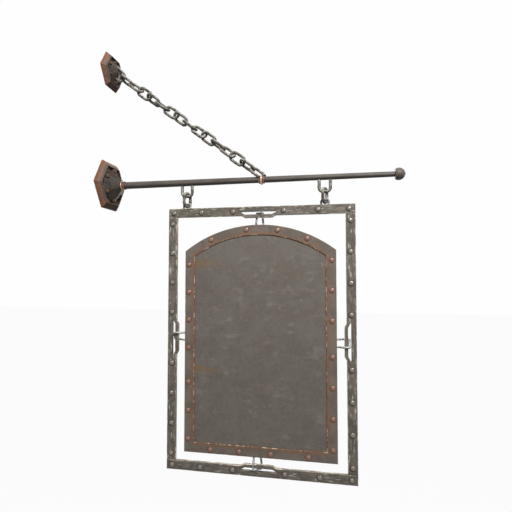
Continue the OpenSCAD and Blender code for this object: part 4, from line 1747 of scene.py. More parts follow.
@dataclass(frozen=True)
class RivetHeads:
    """Hammered rivet heads on both faces of a stack, whose half thickness is half."""

    finish: Finish
    half: float
    head_h: float
    head_r: float = 9.5

    def driven(self, shop: Workshop, points: Sequence[Spot], seed: int) -> Mesh:
        """Sets the heads.

        Args:
            shop: the shared tools.
            points: the rivets' places on the stack's middle plane, in millimetres.
            seed: a number for their turns and sizes.

        Returns:
            One mesh with the note "rise", from 0 at a head's foot to 1 on its crown.
        """
        arc = [math.radians(90 * k / 7) for k in range(1, 7)]
        line = [(-0.8, 0.0), (-0.8, self.head_r * 0.7), (0.0, self.head_r)]
        line += [(self.head_h * math.sin(t) ** 0.9, self.head_r * math.cos(t)) for t in arc]
        line.append((self.head_h, 0.0))
        shape = Turned(line, corner_r=0.5, step=1.2, sides=28, dent=0.5, dent_size=5.5, seed=seed).shape()
        shape.notes["rise"] = np.clip(shape.points[:, 0] / (self.head_h * MM), 0, 1)
        places = [(x, y + facing * self.half, z) for facing in (-1.0, 1.0) for x, y, z in points]
        facings = [(0.0, facing, 0.0) for facing in (-1.0, 1.0) for _ in points]
        return shop.fasten(shape, places, facings, self.finish, seed)


# The bracket


def oval_path(length: float, spread: float, count: int = 40) -> list[Point]:
    """The middle line of an oval link round the origin, its long axis along the first number.

    Args:
        length: how long it is.
        spread: how wide it is.
        count: how many points it has.

    Returns:
        Its points.
    """
    line = []
    for k in range(count):
        angle = 2 * math.pi * (k + 0.5) / count
        side = math.copysign((length - spread) / 2, math.cos(angle))
        line.append((side + spread / 2 * math.cos(angle), spread / 2 * math.sin(angle)))
    return line


def staple_path(spread: float, run: float, leg: float) -> list[Point]:
    """The middle line of a staple: a leg down to the height 0, a level run and a leg up.

    Args:
        spread: how far apart the legs are.
        run: how long the level run is.
        leg: the height that the legs reach.

    Returns:
        Its points.
    """
    radius = (spread - run) / 2
    turn = [math.radians(90 * k / 7) for k in range(8)]
    bend = [(-run / 2 - radius * math.cos(t), radius - radius * math.sin(t)) for t in turn]
    left = [(-spread / 2, leg), *bend]
    return left + [(-x, y) for x, y in reversed(left)]


@dataclass(frozen=True)
class SleeveNut:
    """A nut with a six-sided crowned head and a sleeve that is tapped from the wall side."""

    head_r: float
    head_h: float
    sleeve_r: float
    thread_r: float
    thread_depth: float

    def shape(self, seat: float, seed: int) -> Shape:
        """Makes the nut.

        Args:
            seat: the height of its seat off the wall.
            seed: a number for its dents.

        Returns:
            The head and the sleeve, along X.
        """
        top = seat + self.head_h
        head = [
            (seat, 0.0), (seat, self.head_r), (seat + self.head_h * 0.62, self.head_r),
            (top - 0.4, self.head_r * 0.62), (top, 0.0),
        ]
        sleeve = [
            (self.thread_depth, 0.0), (self.thread_depth, self.thread_r), (0.0, self.thread_r),
            (0.0, self.sleeve_r), (seat + 1.0, self.sleeve_r), (seat + 1.0, 0.0),
        ]
        stock = (
            Turned(head, Section.HEXAGON, corner_r=1.1, step=2.0, dent=0.35, dent_size=6.0, seed=seed),
            Turned(sleeve, corner_r=0.5, step=5.0, sides=24, dent=0.05),
        )
        return joined(turned.shape() for turned in stock)


@dataclass(frozen=True)
class WallFixing:
    """One of the two wall plates with its boss and its sleeve nuts."""

    level: str
    height: float
    plate_r: float
    bevel: float
    nut: SleeveNut
    nut_circle: float
    nut_seat: float
    cell: float
    seed: int
    rim_rise: float = 23.5

    def build(self, shop: Workshop) -> None:
        """Builds the plate, the boss and the nuts.

        Args:
            shop: the shared tools.
        """
        plate = Forged(f"{self.level}_wall_plate", self.cell, 3, 0.5, 13.0, self.seed, self._crest)
        settle(plate.mesh(), PLATE_IRON, Body.BRACKET, plate.node)
        boss = Forged(f"{self.level}_plate_boss", self.cell * 0.8, 4, 0.35, 10.0, self.seed + 3)
        settle(boss.mesh(), BOSS_IRON, Body.BRACKET, boss.node)
        angles = [math.radians(30 + 60 * k) for k in range(6)]
        places = [
            (0.0, self.nut_circle * math.cos(t), self.height + self.nut_circle * math.sin(t)) for t in angles
        ]
        pattern = self.nut.shape(self.nut_seat, self.seed)
        nuts = shop.fasten(pattern, places, [(1.0, 0.0, 0.0)] * 6, HEAD_IRON, self.seed)
        mark_wear(nuts)
        settle(nuts, HEAD_IRON, Body.BRACKET, f"{self.level}_sleeve_nuts")

    def _crest(self, points: np.ndarray) -> np.ndarray:
        """How strongly the rim's crest is rubbed round.

        Args:
            points: the plate's points in metres.

        Returns:
            A share for each point.
        """
        away = np.hypot(points[:, 1], points[:, 2] - self.height * MM) / MM
        crest_r = self.plate_r - self.bevel
        near = smooth_step(away, crest_r * 0.74, crest_r * 0.86)
        return near * smooth_step(points[:, 0] / MM, self.rim_rise * 0.45, self.rim_rise * 0.75)


@dataclass(frozen=True)
class Collar:
    """A turned ring on the bar with a bead round it, whose middle is sunk into the ring's wall."""

    start: float
    end: float
    bore_r: float
    wall_r: float
    bead_x: float
    bead_r: float
    bead_sink: float
    lip: float
    polish: float
    corner_r: float
    dent_size: float
    seed: int

    @property
    def proud_r(self) -> float:
        """The radius from which the bead is painted near-white, as rubbed metal with a painted highlight."""
        return self.wall_r - self.bead_sink + self.bead_r - self.polish

    def stock(self) -> Turned:
        """The collar's stock.

        Returns:
            A ring whose profile runs along the bore and back over the bead.
        """
        height = self.wall_r - self.bead_sink
        low = math.asin(self.bead_sink / self.bead_r)
        turns = [low + (math.pi - 2 * low) * k / 8 for k in range(9)]
        line = [(self.start, self.bore_r), (self.end, self.bore_r), (self.end, self.wall_r)]
        line += [(self.bead_x + self.bead_r * math.cos(t), height + self.bead_r * math.sin(t)) for t in turns]
        line.append((self.start, self.wall_r - self.lip))
        wear = {"corner_r": self.corner_r, "dent": 0.25, "dent_size": self.dent_size, "seed": self.seed}
        return Turned(line, ring=True, step=1.5, **wear)


@dataclass(frozen=True)
class BracketBar:
    """The long tapered bar, its collars, its end ball and the nut behind it."""

    shoulder: float = 24.0
    tenon_r: float = 9.5
    tenon_end: float = 1.5
    root_r: float = 14.5
    seat: Point = (604.5, 653.5)
    seat_r: float = 12.0
    reach: float = 1117.0
    tip_r: float = 9.8
    spigot_r: float = 6.0
    spigot_len: float = 24.0
    ball_r: float = 22.3
    ball_flat: float = 13.0
    nub_r: float = 2.0
    nub_len: float = 2.0
    root_collar: Collar = Collar(
        start=58.0, end=74.0, bore_r=14.6, wall_r=16.8, bead_x=60.7, bead_r=2.7, bead_sink=1.35, lip=1.2,
        polish=1.0, corner_r=0.7, dent_size=5.0, seed=8,
    )
    chain_collar: Collar = Collar(
        start=622.5, end=644.5, bore_r=12.05, wall_r=15.5, bead_x=633.5, bead_r=4.6, bead_sink=0.0, lip=0.0,
        polish=1.1, corner_r=0.8, dent_size=6.0, seed=9,
    )
    no_bead: ClassVar[float] = 1000.0

    def build(self) -> None:
        """Builds the bar and what sits on it."""
        self._turn("support_bar", self._bar(), BAR_IRON)
        for node, collar in (("root_collar", self.root_collar), ("chain_collar", self.chain_collar)):
            self._turn(node, collar.stock(), COLLAR_COPPER, collar.proud_r)
        self._turn("finial_ball", self._ball(), BALL_IRON)
        for node, cell in (("bar_root_nut", 0.7), ("chain_collar_pin", 0.4)):
            settle(Forged(node, cell, 3, 0.1, 5.0, 7).mesh(), NUT_IRON, Body.BRACKET, node)

    def _turn(self, node: str, stock: Turned, finish: Finish, proud_r: float = no_bead) -> None:
        """Turns one piece and settles it.

        Args:
            node: the piece's CAD node.
            stock: its stock.
            finish: its finish.
            proud_r: the radius beyond which its metal is noted as "proud".
        """
        shape = stock.shape()
        reach = np.hypot(shape.points[:, 1], shape.points[:, 2]) / MM
        shape.notes["proud"] = smooth_step(reach, proud_r, proud_r + 1.2)
        mesh = shape.mesh()
        mark_wear(mesh)
        settle(mesh, finish, Body.BRACKET, node)

    def _bar(self) -> Turned:
        """The bar, with its tenon, shoulder and spigot.

        Returns:
            Its stock.
        """
        end = self.reach + self.spigot_len
        line = [
            (self.tenon_end, 0.0), (self.tenon_end, self.tenon_r), (self.shoulder, self.tenon_r),
            (self.shoulder, self.root_r), (self.seat[0], self.seat_r), (self.seat[1], self.seat_r),
            (self.reach, self.tip_r), (self.reach, self.spigot_r), (end, self.spigot_r), (end, 0.0),
        ]
        return Turned(line, corner_r=0.6, step=5.0, dent=0.3, dent_size=16.0, seed=5)

    def _ball(self) -> Turned:
        """The end ball, flat where it meets the bar, with a small nub.

        Returns:
            Its stock.
        """
        centre = self.reach + self.ball_flat
        start = math.acos(-self.ball_flat / self.ball_r)
        stop = math.asin(self.nub_r / self.ball_r)
        arc = [start + (stop - start) * k / 20 for k in range(21)]
        end = centre + self.ball_r + self.nub_len
        line = [(self.reach, 0.0)]
        line += [(centre + self.ball_r * math.cos(t), self.ball_r * math.sin(t)) for t in arc]
        line += [(end, self.nub_r), (end, 0.0)]
        return Turned(line, corner_r=0.5, step=2.0, sides=56, dent=0.2, dent_size=13.0, seed=6)


@dataclass(frozen=True)
class ChainStay:
    """The chain from the upper plate to the bar: its staple, its links and the half link on the collar."""

    bow: Point = (44.7, 452.3)
    bow_r: float = 19.0
    staple_wire: float = 10.0
    low_angle: float = -130.0
    high_end: Point = (24.0, 498.8)
    low_end_x: float = 16.0
    hook_gap: float = 0.6
    eye: Point = (615.6, 28.7)
    eye_turn: float = 67.5
    collar_start: float = 625.0
    collar_r: float = 17.0
    links: int = 14
    wire: float = 11.5
    spread: float = 33.0
    least_gap: float = 0.25
    first_roll: float = -22.5
    twist: float = 55.0

    @property
    def run(self) -> Point:
        """The chain's run, along X and Z."""
        return self.eye[0] - self.bow[0], self.eye[1] - self.bow[1]

    @property
    def slope(self) -> float:
        """How steeply the chain falls, in radians."""
        return math.atan2(-self.run[1], self.run[0])

    @property
    def hook_depth(self) -> float:
        """How far the first link's end lies from the middle of the staple's bow."""
        return self.bow_r - (self.staple_wire + self.wire) / 2 - self.hook_gap

    @property
    def pitch(self) -> float:
        """The distance from one link to the next."""
        return (math.hypot(*self.run) - self.hook_depth - self.hold(self.twist) / 2) / (self.links + 0.5)

    @property
    def link_length(self) -> float:
        """The length of a link at the middle of its wire."""
        return round(self.pitch + self.hold(self.twist), 2)

    def hold(self, twist: float) -> float:
        """How far two hooked wires reach past each other, for the angle between them.

        Args:
            twist: the angle in degrees.

        Returns:
            The distance at which the wires' middle lines stay the least distance apart, in millimetres.
        """
        share = math.sin(math.radians(twist / 2)) ** 2
        side, least = self.spread * share, self.wire + self.least_gap
        if least <= side:
            return least
        return (side - math.sqrt((1 - share) * (side * side - share * least * least))) / share

    def build(self, shop: Workshop) -> None:
        """Builds the staple, the links and the eye.

        Args:
            shop: the shared tools.
        """
        staple = shop.wire(self._staple(), self.staple_wire, CHAIN_STEEL, dent=0.3, seed=4.0)
        settle(staple, CHAIN_STEEL, Body.BRACKET, "chain_staple")
        values = {
            "Link length": self.link_length * MM,
            "Link spread": self.spread * MM,
            "Wire diameter": self.wire * MM,
            "Links": self.links,
            "Pitch": self.pitch * MM,
            "First place": (self.hook_depth + self.link_length / 2) * MM,
            "First roll": math.radians(self.first_roll),
            "Twist": math.radians(self.twist),
            "Slope": self.slope,
            "Start": (self.bow[0] * MM, 0.0, self.bow[1] * MM),
            "Material": CHAIN_STEEL.material(),
        }
        chain = ChainGrower().grow(bpy.data.meshes.new("chain_start"), values)
        nodes = [f"chain_link_{number:02d}" for number in range(1, self.links + 1)]
        settle(chain, CHAIN_STEEL, Body.BRACKET, *nodes, name="chain_links")
        eye = shop.wire(self._eye(), self.wire, CHAIN_STEEL, dent=0.3, seed=6.0)
        settle(eye, CHAIN_STEEL, Body.BRACKET, "chain_collar_eye")

    def _staple(self) -> list[Spot]:
        """The staple's middle line: a leg from the boss, a bow, and a leg back to it.

        Returns:
            Its points.
        """
        x, z = self.bow
        away = (self.high_end[0] - x, self.high_end[1] - z)
        low = math.radians(self.low_angle)
        high = math.atan2(away[1], away[0]) - math.acos(self.bow_r / math.hypot(*away))
        turns = [low + (high - low) * k / 24 for k in range(25)]
        bow = [(x + self.bow_r * math.cos(t), 0.0, z + self.bow_r * math.sin(t)) for t in turns]
        low_z = bow[0][2] + (bow[0][0] - self.low_end_x) * math.tan(-math.pi / 2 - low)
        return [(self.low_end_x, 0.0, low_z), *bow, (self.high_end[0], 0.0, self.high_end[1])]

    def _eye(self) -> list[Spot]:
        """The middle line of the half link that stands up from the collar.

        Returns:
            The points of a link after the last one, without those inside the collar.
        """
        slack = self.hold(self.twist) - self.hold(self.eye_turn)
        along = self.hook_depth + self.link_length / 2 + self.links * self.pitch + slack
        roll = self.first_roll + (self.links - 1) * self.twist + self.eye_turn
        turn = Euler((math.radians(roll), self.slope, 0.0)).to_matrix()
        centre = Vector((
            self.bow[0] + along * math.cos(self.slope), 0.0, self.bow[1] - along * math.sin(self.slope)
        ))
        oval = [turn @ Vector((x, y, 0.0)) + centre for x, y in oval_path(self.link_length, self.spread)]
        shown = [
            k for k, point in enumerate(oval)
            if point.x <= self.collar_start or math.hypot(point.y, point.z) >= self.collar_r
        ]
        gap = next((k for k in range(1, len(shown)) if shown[k] != shown[k - 1] + 1), 0)
        return [tuple(oval[k]) for k in shown[gap:] + shown[:gap]]


# The hanging sign


@dataclass(frozen=True)
class Hanger:
    """One of the two hangers: the staple under the bar, the link and the staple in the frame."""

    side: str
    place: float
    bar_r: float
    link_body: Body
    seed: float
    upper_drop: float = 54.0
    lower_drop: float = 84.0
    frame_drop: float = 102.0
    wire: float = 12.0
    frame_wire: float = 8.0
    gap: float = 0.3
    spread: float = 34.0
    turn: float = 24.0
    bar_staple: Spot = (41.0, 10.0, 10.0)
    frame_staple: Spot = (27.0, 13.0, 14.0)

    def build(self, shop: Workshop) -> None:
        """Builds the three wires.

        Args:
            shop: the shared tools.
        """
        spread, run, depth = self.bar_staple
        upper = staple_path(spread, run, self.upper_drop - self.bar_r + depth)
        path = [(self.place + x, 0.0, y - self.upper_drop) for x, y in upper]
        made = shop.wire(path, self.wire, HOOK_STEEL, dent=0.3, seed=self.seed)
        settle(made, HOOK_STEEL, Body.BRACKET, f"bar_staple_{self.side}")
        made = shop.wire(self._link(), self.wire, HOOK_STEEL, dent=0.12, seed=self.seed + 2, closed=True)
        settle(made, HOOK_STEEL, self.link_body, f"hanger_link_{self.side}")
        spread, run, depth = self.frame_staple
        lower = staple_path(spread, run, self.frame_drop - self.lower_drop + depth)
        path = [(self.place + x, 0.0, -y - self.lower_drop) for x, y in lower]
        made = shop.wire(path, self.frame_wire, TIE_STEEL, dent=0.12, seed=self.seed + 1)
        settle(made, TIE_STEEL, Body.SIGN, f"frame_staple_{self.side}")

    def _link(self) -> list[Spot]:
        """The middle line of the oval link, turned a little about the upright.

        Returns:
            Its points.
        """
        top = -self.upper_drop + self.wire + self.gap
        bottom = -self.lower_drop - (self.frame_wire + self.wire) / 2 - self.gap
        turn = Euler((0.0, 0.0, math.radians(-self.turn))).to_matrix()
        middle = Vector((self.place, 0.0, (top + bottom) / 2))
        return [tuple(turn @ Vector((0.0, y, x)) + middle) for x, y in oval_path(top - bottom, self.spread)]


class Side(Enum):
    """The four sides of the frame, each with its turn from the top and whether it is upright."""

    TOP = ("top", 0.0, False)
    LEFT = ("left", 90.0, True)
    BOTTOM = ("bottom", 180.0, False)
    RIGHT = ("right", 270.0, True)

    def __init__(self, title: str, turn: float, upright: bool) -> None:
        """Takes the side's name, its turn in degrees and whether it is upright."""
        self.title = title
        self.turn = turn
        self.upright = upright


@dataclass(frozen=True)
class SignPlan:
    """The sizes that the frame, the panel and the ties share, measured from the frame's centre."""

    centre: Point = (621.0, -602.0)
    width: float = 714.0
    height: float = 1000.0
    bar_w: float = 35.0
    layer: float = 6.0
    strap_w: float = 13.0
    bulge: float = 8.0
    kerf: float = 3.0
    slot_half: float = 67.0
    ramp_half: float = 66.0
    flat_half: float = 52.0
    panel_gap: float = 34.5
    rivet_from_middle: float = 97.5
    top_rivet_step: float = 126.0
    side_rivet_end: float = 60.0
    corner_inset: float = 22.0

    def upright(self, out: float) -> Matrix:
        """The matrix that stands a flat shape up in the sign's plane, out millimetres in front of it."""
        centre = Matrix.Translation((self.centre[0] * MM, -out * MM, self.centre[1] * MM))
        return centre @ Matrix.Rotation(math.radians(90), 4, "X")

    def on_side(self, side: Side, out: float) -> Matrix:
        """The matrix that brings the plan of a top side to any side.

        Args:
            side: the side. On its plan, the first axis runs along it and the second out from its edge.
            out: how far in front of the sign's middle plane it goes, in millimetres.

        Returns:
            The matrix, in metres.
        """
        reach = self.width / 2 if side.upright else self.height / 2
        spin = Matrix.Rotation(math.radians(side.turn), 4, "Z")
        return self.upright(out) @ spin @ Matrix.Translation((0.0, reach * MM, 0.0))

    def spot(self, side: Side, along: float, up: float, out: float = 0.0) -> Spot:
        """A point on a side's plan, in the part's frame, all in millimetres."""
        return tuple(self.on_side(side, out) @ Vector((along * MM, up * MM, 0.0)) / MM)

    def rivets_along(self, side: Side) -> list[float]:
        """Where the rivets sit along a side.

        Args:
            side: the side.

        Returns:
            Their distances from its middle.
        """
        first = self.rivet_from_middle
        half = [first, first + self.top_rivet_step]
        if side.upright:
            half = list(np.linspace(first, self.height / 2 - self.side_rivet_end, 4))
        return half + [-place for place in half]

    def rivet_spots(self, side: Side) -> list[Point]:
        """Every rivet's place on a side's plan, with those at its corners.

        Args:
            side: the side.

        Returns:
            Their places.
        """
        middle = -self.bar_w / 2
        corner = (self.width / 2 - self.corner_inset, middle)
        if side.upright:
            corner = ((self.height - self.bar_w) / 2, -self.corner_inset)
        return [*((along, middle) for along in self.rivets_along(side)), corner, (-corner[0], corner[1])]


@dataclass(frozen=True)
class RivetedFrame:
    """The frame: two layers of flat bar, lapped at the corners, with a strap bulging in on each side."""

    plan: SignPlan
    head_h: float = 5.0
    first_bar_seed: int = 31
    first_rivet_seed: int = 38

    def build(self, shop: Workshop) -> None:
        """Builds the eight bars and their rivets.

        Args:
            shop: the shared tools.
        """
        bars = [(layer, side) for layer in ("front", "back") for side in Side]
        for seed, (layer, side) in enumerate(bars, self.first_bar_seed):
            self._bar(layer, side, seed)
        plan = self.plan
        (centre_x, centre_z), middle = plan.centre, -plan.bar_w / 2
        rivets = {
            f"frame_{side.title}_rivets": [plan.spot(side, x, middle) for x in plan.rivets_along(side)]
            for side in Side
        }
        corner_x, corner_z = plan.width / 2 - plan.corner_inset, (plan.height - plan.bar_w) / 2
        rivets["frame_corner_rivets"] = [
            (centre_x + x, 0.0, centre_z + z) for x in (-corner_x, corner_x) for z in (-corner_z, corner_z)
        ]
        heads = RivetHeads(FRAME_RIVET, plan.layer, self.head_h)
        for seed, (node, points) in enumerate(rivets.items(), self.first_rivet_seed):
            settle(heads.driven(shop, points, seed), FRAME_RIVET, Body.SIGN, node)

    def _bar(self, layer: str, side: Side, seed: int) -> None:
        """Makes one bar, with its slot and its strap.

        The front layer's level bars and the back layer's uprights run right to the corners.

        Args:
            layer: the layer's name.
            side: the bar's side.
            seed: a number for its wear.
        """
        plan = self.plan
        length = plan.height if side.upright else plan.width
        if side.upright == (layer == "front"):
            length -= 2 * plan.bar_w
        half = length / 2
        strap_top = plan.strap_w - plan.bar_w
        outer = [
            (half, 0.0), (-half, 0.0), (-half, -plan.bar_w), (-plan.ramp_half, -plan.bar_w),
            (-plan.flat_half, -plan.bar_w - plan.bulge), (plan.flat_half, -plan.bar_w - plan.bulge),
            (plan.ramp_half, -plan.bar_w), (half, -plan.bar_w),
        ]
        slot = [
            (-plan.slot_half, strap_top + plan.kerf), (plan.slot_half, strap_top + plan.kerf),
            (plan.slot_half, strap_top), (plan.flat_half, strap_top - plan.bulge),
            (-plan.flat_half, strap_top - plan.bulge), (-plan.slot_half, strap_top),
        ]
        shape = FlatStock(plan.layer, nick=0.35, dent=0.4, seed=seed).cut(outer, [slot])
        place = plan.on_side(side, 0.0 if layer == "front" else -plan.layer)
        flat = shape.points[:, :2] / MM
        shape.notes["rivet"] = from_nearest(flat, plan.rivet_spots(side), place)
        shape.notes["slot"] = loop_distance(flat, [np.array(slot)])
        settle(shape.placed(place).mesh(), FRAME_STEEL, Body.SIGN, f"frame_{layer}_{side.title}")


@dataclass(frozen=True)
class Panel:
    """The blank arched panel: a sheet between two border strips, with rivets through all three."""

    plan: SignPlan
    arch_rise: float = 98.0
    sheet_t: float = 4.0
    border_t: float = 4.0
    border_w: float = 38.0
    head_h: float = 4.5
    rivet_inset: float = 15.5
    outer_rivet_inset: float = 104.0
    middle_rivets: Point = (-46.0, 73.0)
    rivet_break: float = 65.0
    left_run: tuple[float, float, float, int, int] = (51.5, -101.5, 50.0, 4, 3)
    right_run: tuple[float, float, float, int, int] = (36.5, 10.0, 46.5, 3, 4)

    @property
    def width(self) -> float:
        """The panel's width."""
        return self.plan.width - 2 * (self.plan.bar_w + self.plan.panel_gap)

    @property
    def height(self) -> float:
        """The panel's height at its middle."""
        return self.plan.height - 2 * (self.plan.bar_w + self.plan.panel_gap)

    @property
    def arch_r(self) -> float:
        """The radius of the arched top."""
        return ((self.width / 2) ** 2 + self.arch_rise**2) / (2 * self.arch_rise)

    @property
    def arch_z(self) -> float:
        """The height of the arch's centre above the panel's."""
        return self.height / 2 - self.arch_r

    def build(self, shop: Workshop) -> None:
        """Builds the sheet, the two borders and the rivets.

        Args:
            shop: the shared tools.
        """
        outer, inner = self.outline(0.0), self.outline(self.border_w)
        face = self.sheet_t / 2
        sheet = FlatStock(self.sheet_t, nick=0.3, dent=0.9, seed=51, step=6.0, grid=13.0).cut(outer)
        settle(sheet.placed(self.plan.upright(-face)).mesh(), PANEL_STEEL, Body.SIGN, "panel_sheet")
        spots = self._rivet_places()
        lows = {"panel_border_front": face, "panel_border_back": -face - self.border_t}
        for number, (node, low) in enumerate(lows.items()):
            stock = FlatStock(self.border_t, nick=0.7, dent=0.35, seed=53 + number, grid=4.5)
            strip = stock.cut(outer, [inner[::-1]])
            place = self.plan.upright(low)
            flat = strip.points[:, :2] / MM
            strip.notes["inner"] = loop_distance(flat, [np.array(inner)])
            strip.notes["stain"] = self._stain(flat, spots)
            strip.notes["rivet"] = from_nearest(flat, spots, place)
            settle(strip.placed(place).mesh(), BORDER_STEEL, Body.SIGN, node)
        centre_x, centre_z = self.plan.centre
        points = [(centre_x + x, 0.0, centre_z + z) for x, z in spots]
        heads = RivetHeads(PANEL_RIVET, face + self.border_t, self.head_h)
        settle(heads.driven(shop, points, 60), PANEL_RIVET, Body.SIGN, "panel_rivets")

    def outline(self, inset: float) -> list[Point]:
        """The arched outline, anticlockwise, drawn in from the panel's edge.

        Args:
            inset: how far in it lies.

        Returns:
            Its points, from the panel's centre.
        """
        half = self.width / 2 - inset
        foot = inset - self.height / 2
        radius = self.arch_r - inset
        turn = math.asin(half / radius)
        arc = [turn - 2 * turn * k / 90 for k in range(91)]
        top = [(radius * math.sin(t), self.arch_z + radius * math.cos(t)) for t in arc]
        return [(-half, foot), (half, foot), *top]

    def _rivet_places(self) -> list[Point]:
        """Where the rivets sit.

        Returns:
            Their places from the panel's centre.
        """
        side_x = self.width / 2 - self.rivet_inset
        spots = [(-side_x, z) for z in self._run(self.left_run)]
        spots += [(side_x, z) for z in self._run(self.right_run)]
        outer = self.width / 2 - self.outer_rivet_inset
        for x in (-outer, *self.middle_rivets, outer):
            spots.append((x, self.arch_z + math.sqrt((self.arch_r - self.rivet_inset) ** 2 - x * x)))
            spots.append((-x, self.rivet_inset - self.height / 2))
        return spots

    def _run(self, run: tuple[float, float, float, int, int]) -> list[float]:
        """The heights of the rivets down one side, above and below the gap for the tie.

        Args:
            run: the highest rivet's drop below the arch's spring, the middle of the gap, the lowest one's
                rise above the foot, and how many lie above and below the gap.

        Returns:
            Their heights from the panel's centre.
        """
        drop, middle, rise, above, below = run
        spring = self.height / 2 - self.arch_rise
        high = np.linspace(spring - drop, middle + self.rivet_break, above)
        return [*high, *np.linspace(middle - self.rivet_break, rise - self.height / 2, below)]

    @staticmethod
    def _stain(flat: np.ndarray, spots: Sequence[Point]) -> np.ndarray:
        """The rust round each rivet, which runs down further than up.

        Args:
            flat: places on the panel, one row each.
            spots: the rivets' places.

        Returns:
            How rusty each place is.
        """
        stain = np.zeros(len(flat))
        for number, (x, z) in enumerate(spots):
            across = (flat[:, 0] - x) / (11.0 + 3.0 * math.sin(number * 2.3))
            down = z - flat[:, 1]
            reach = np.where(down > 0, 17.0 + 6.0 * math.sin(number * 1.7), 11.0)
            stain = np.maximum(stain, 1 - np.hypot(across, down / reach))
        return np.clip(stain * 1.6, 0, 1)


@dataclass(frozen=True)
class Ties:
    """The four bent wires that hold the panel in the frame."""

    plan: SignPlan
    wire: float = 8.0
    spread: float = 27.0
    shift: float = 4.5
    depth: float = 14.0
    gap: float = 0.3
    hump: float = 2.6
    bend: float = 3.4

    def build(self, shop: Workshop) -> None:
        """Builds a tie for each side.

        Args:
            shop: the shared tools.
        """
        for number, side in enumerate(Side):
            path = [self.plan.spot(side, along + self.shift, up, out) for along, up, out in self._path()]
            tie = shop.wire(path, self.wire, TIE_STEEL, dent=0.14, seed=20.0 + number, bend=self.bend)
            settle(tie, TIE_STEEL, Body.SIGN, f"panel_tie_{side.title}")

    def _path(self) -> list[Spot]:
        """From the panel's edge past the strap's front, back through the slot and down behind the strap.

        Returns:
            The points of the wire's middle line on a side's plan, along, up and out.
        """
        r = self.wire / 2
        edge = -self.plan.bar_w - self.plan.panel_gap
        strap = -self.plan.bar_w - self.plan.bulge
        slot = strap + self.plan.strap_w + r + self.gap
        near = edge + 1.5 * r
        half = self.spread / 2
        out = self.plan.layer + r + self.gap
        return [
            (half, edge - self.depth, 0.0),
            (half, near, 0.0),
            (half, strap - r, out),
            (half, slot + self.hump, out),
            (half - self.wire, slot, self.plan.layer - self.gap),
            (self.wire - half, slot, self.gap - self.plan.layer),
            (-half, slot + self.hump, -out),
            (-half, strap - r, -out),
            (-half, near, 0.0),
            (-half, edge - self.depth, 0.0),
        ]


# The studio


@dataclass(frozen=True)
class Lamp:
    """A soft square lamp, aimed at a point; its places and size are in metres and its power in watts."""

    name: str
    place: Spot
    target: Spot
    size: float
    power: float

    def build(self) -> None:
        """Hangs the lamp."""
        data = bpy.data.lights.new(self.name, "AREA")
        data.size = self.size
        data.energy = self.power
        lamp = add_object(self.name, data)
        lamp.location = self.place
        lamp.rotation_euler = (Vector(self.target) - lamp.location).to_track_quat("-Z", "Y").to_euler()


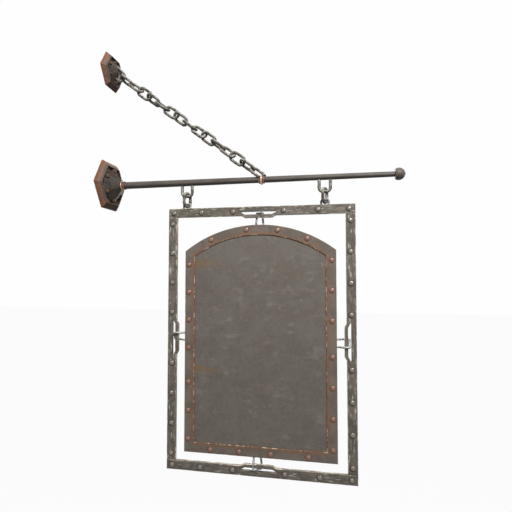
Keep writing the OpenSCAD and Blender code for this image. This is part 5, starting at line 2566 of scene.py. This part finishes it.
@dataclass(frozen=True)
class Studio:
    """The pale floor and background, the soft lamps and the camera."""

    floor_z: float = -3.3
    floor_reach: float = 30.0
    camera_place: Spot = (0.89183, -1.50526, -0.3564)
    camera_turn: Spot = (92.5, 0.0, 10.56)
    lens: float = 28.54
    white: ClassVar[tuple[float, ...]] = (1.0, 1.0, 1.0, 1.0)
    grey: ClassVar[tuple[float, ...]] = (0.18, 0.18, 0.18, 1.0)
    lamps: tuple[Lamp, ...] = (
        Lamp("key", (1.6, -2.3, 1.5), (0.65, 0.0, -0.4), 1.4, 112.0),
        Lamp("side", (-1.6, -2.2, 0.2), (0.6, 0.0, -0.3), 1.8, 12.0),
        Lamp("top", (0.5, 0.4, 2.7), (0.6, 0.0, -0.2), 1.6, 10.0),
        Lamp("back", (0.2, 2.9, 0.6), (0.6, 0.0, -0.4), 1.8, 50.0),
    )

    def build(self) -> None:
        """Builds the studio."""
        self._floor()
        self._sky()
        for lamp in self.lamps:
            lamp.build()
        self._camera()

    def _floor(self) -> None:
        """Lays a plain pale floor that shows as the background's white and keeps the object's shadow."""
        shape = bpy.data.meshes.new("floor")
        corners = [(-1, -1), (1, -1), (1, 1), (-1, 1)]
        places = [(x * self.floor_reach, y * self.floor_reach, self.floor_z) for x, y in corners]
        shape.from_pydata(places, [], [(0, 1, 2, 3)])
        material = bpy.data.materials.new("pale_floor")
        material.use_nodes = True
        material.node_tree.nodes.clear()
        bench = Bench(material.node_tree)
        feeds = {
            0: self._seen(bench) * 0.8,
            1: bench.out("ShaderNodeBsdfDiffuse", feeds={"Color": self.grey}),
            2: bench.out("ShaderNodeEmission", feeds={"Color": self.white, "Strength": 1.2}),
        }
        mixed = bench.out("ShaderNodeMixShader", feeds=feeds)
        bench.put("ShaderNodeOutputMaterial", feeds={"Surface": mixed})
        shape.materials.append(material)
        add_object("floor", shape)

    @staticmethod
    def _seen(bench: Bench) -> Flow:
        """1 for what the camera sees, straight, in a reflection or through glass."""
        rays = bench.put("ShaderNodeLightPath").outputs
        kinds = ("Camera", "Glossy", "Transmission")
        straight, glossy, through = (Flow(bench, rays[f"Is {kind} Ray"]) for kind in kinds)
        return (straight + glossy + through).least(1.0)

    def _sky(self) -> None:
        """Makes an even white background that lights the object softly."""
        world = bpy.data.worlds.new("studio_white")
        world.use_nodes = True
        world.node_tree.nodes.clear()
        bench = Bench(world.node_tree)
        feeds = {"Color": self.white, "Strength": self._seen(bench) * 0.87 + 0.12}
        bench.put("ShaderNodeOutputWorld", feeds={"Surface": bench.out("ShaderNodeBackground", feeds=feeds)})
        bpy.context.scene.world = world

    def _camera(self) -> None:
        """Sets the camera up at the photograph's place and angle."""
        data = bpy.data.cameras.new("camera")
        data.lens = self.lens
        data.sensor_width = 36.0
        data.clip_start = 0.01
        data.clip_end = 200.0
        camera = add_object("camera", data)
        camera.location = self.camera_place
        camera.rotation_euler = [math.radians(turn) for turn in self.camera_turn]
        bpy.context.scene.camera = camera
        bpy.context.scene.view_settings.view_transform = "Standard"


FIXINGS = (
    WallFixing(
        "lower", height=0.0, plate_r=110.5, bevel=24.5, nut_circle=59.447, nut_seat=24.6, cell=1.3, seed=71,
        nut=SleeveNut(head_r=9.0, head_h=6.5, sleeve_r=5.8, thread_r=3.4, thread_depth=18.0),
    ),
    WallFixing(
        "upper", height=473.0, plate_r=79.0, bevel=17.0, nut_circle=41.262, nut_seat=20.95, cell=1.0, seed=81,
        nut=SleeveNut(head_r=6.4, head_h=5.0, sleeve_r=4.6, thread_r=2.5, thread_depth=16.0),
    ),
)
HANGERS = (
    Hanger("left", place=337.0, bar_r=13.152, link_body=Body.LEFT_LINK, seed=2.0),
    Hanger("right", place=869.0, bar_r=10.977, link_body=Body.RIGHT_LINK, seed=12.0),
)


def main() -> None:
    logging.basicConfig(level=logging.INFO, format="%(name)s %(message)s")
    Studio().build()
    shop = Workshop(WireGrower(), FastenerGrower())
    for fixing in FIXINGS:
        fixing.build(shop)
    BracketBar().build()
    plan = SignPlan()
    for assembly in (ChainStay(), *HANGERS, RivetedFrame(plan), Panel(plan), Ties(plan)):
        assembly.build(shop)


if __name__ == "__main__":
    main()
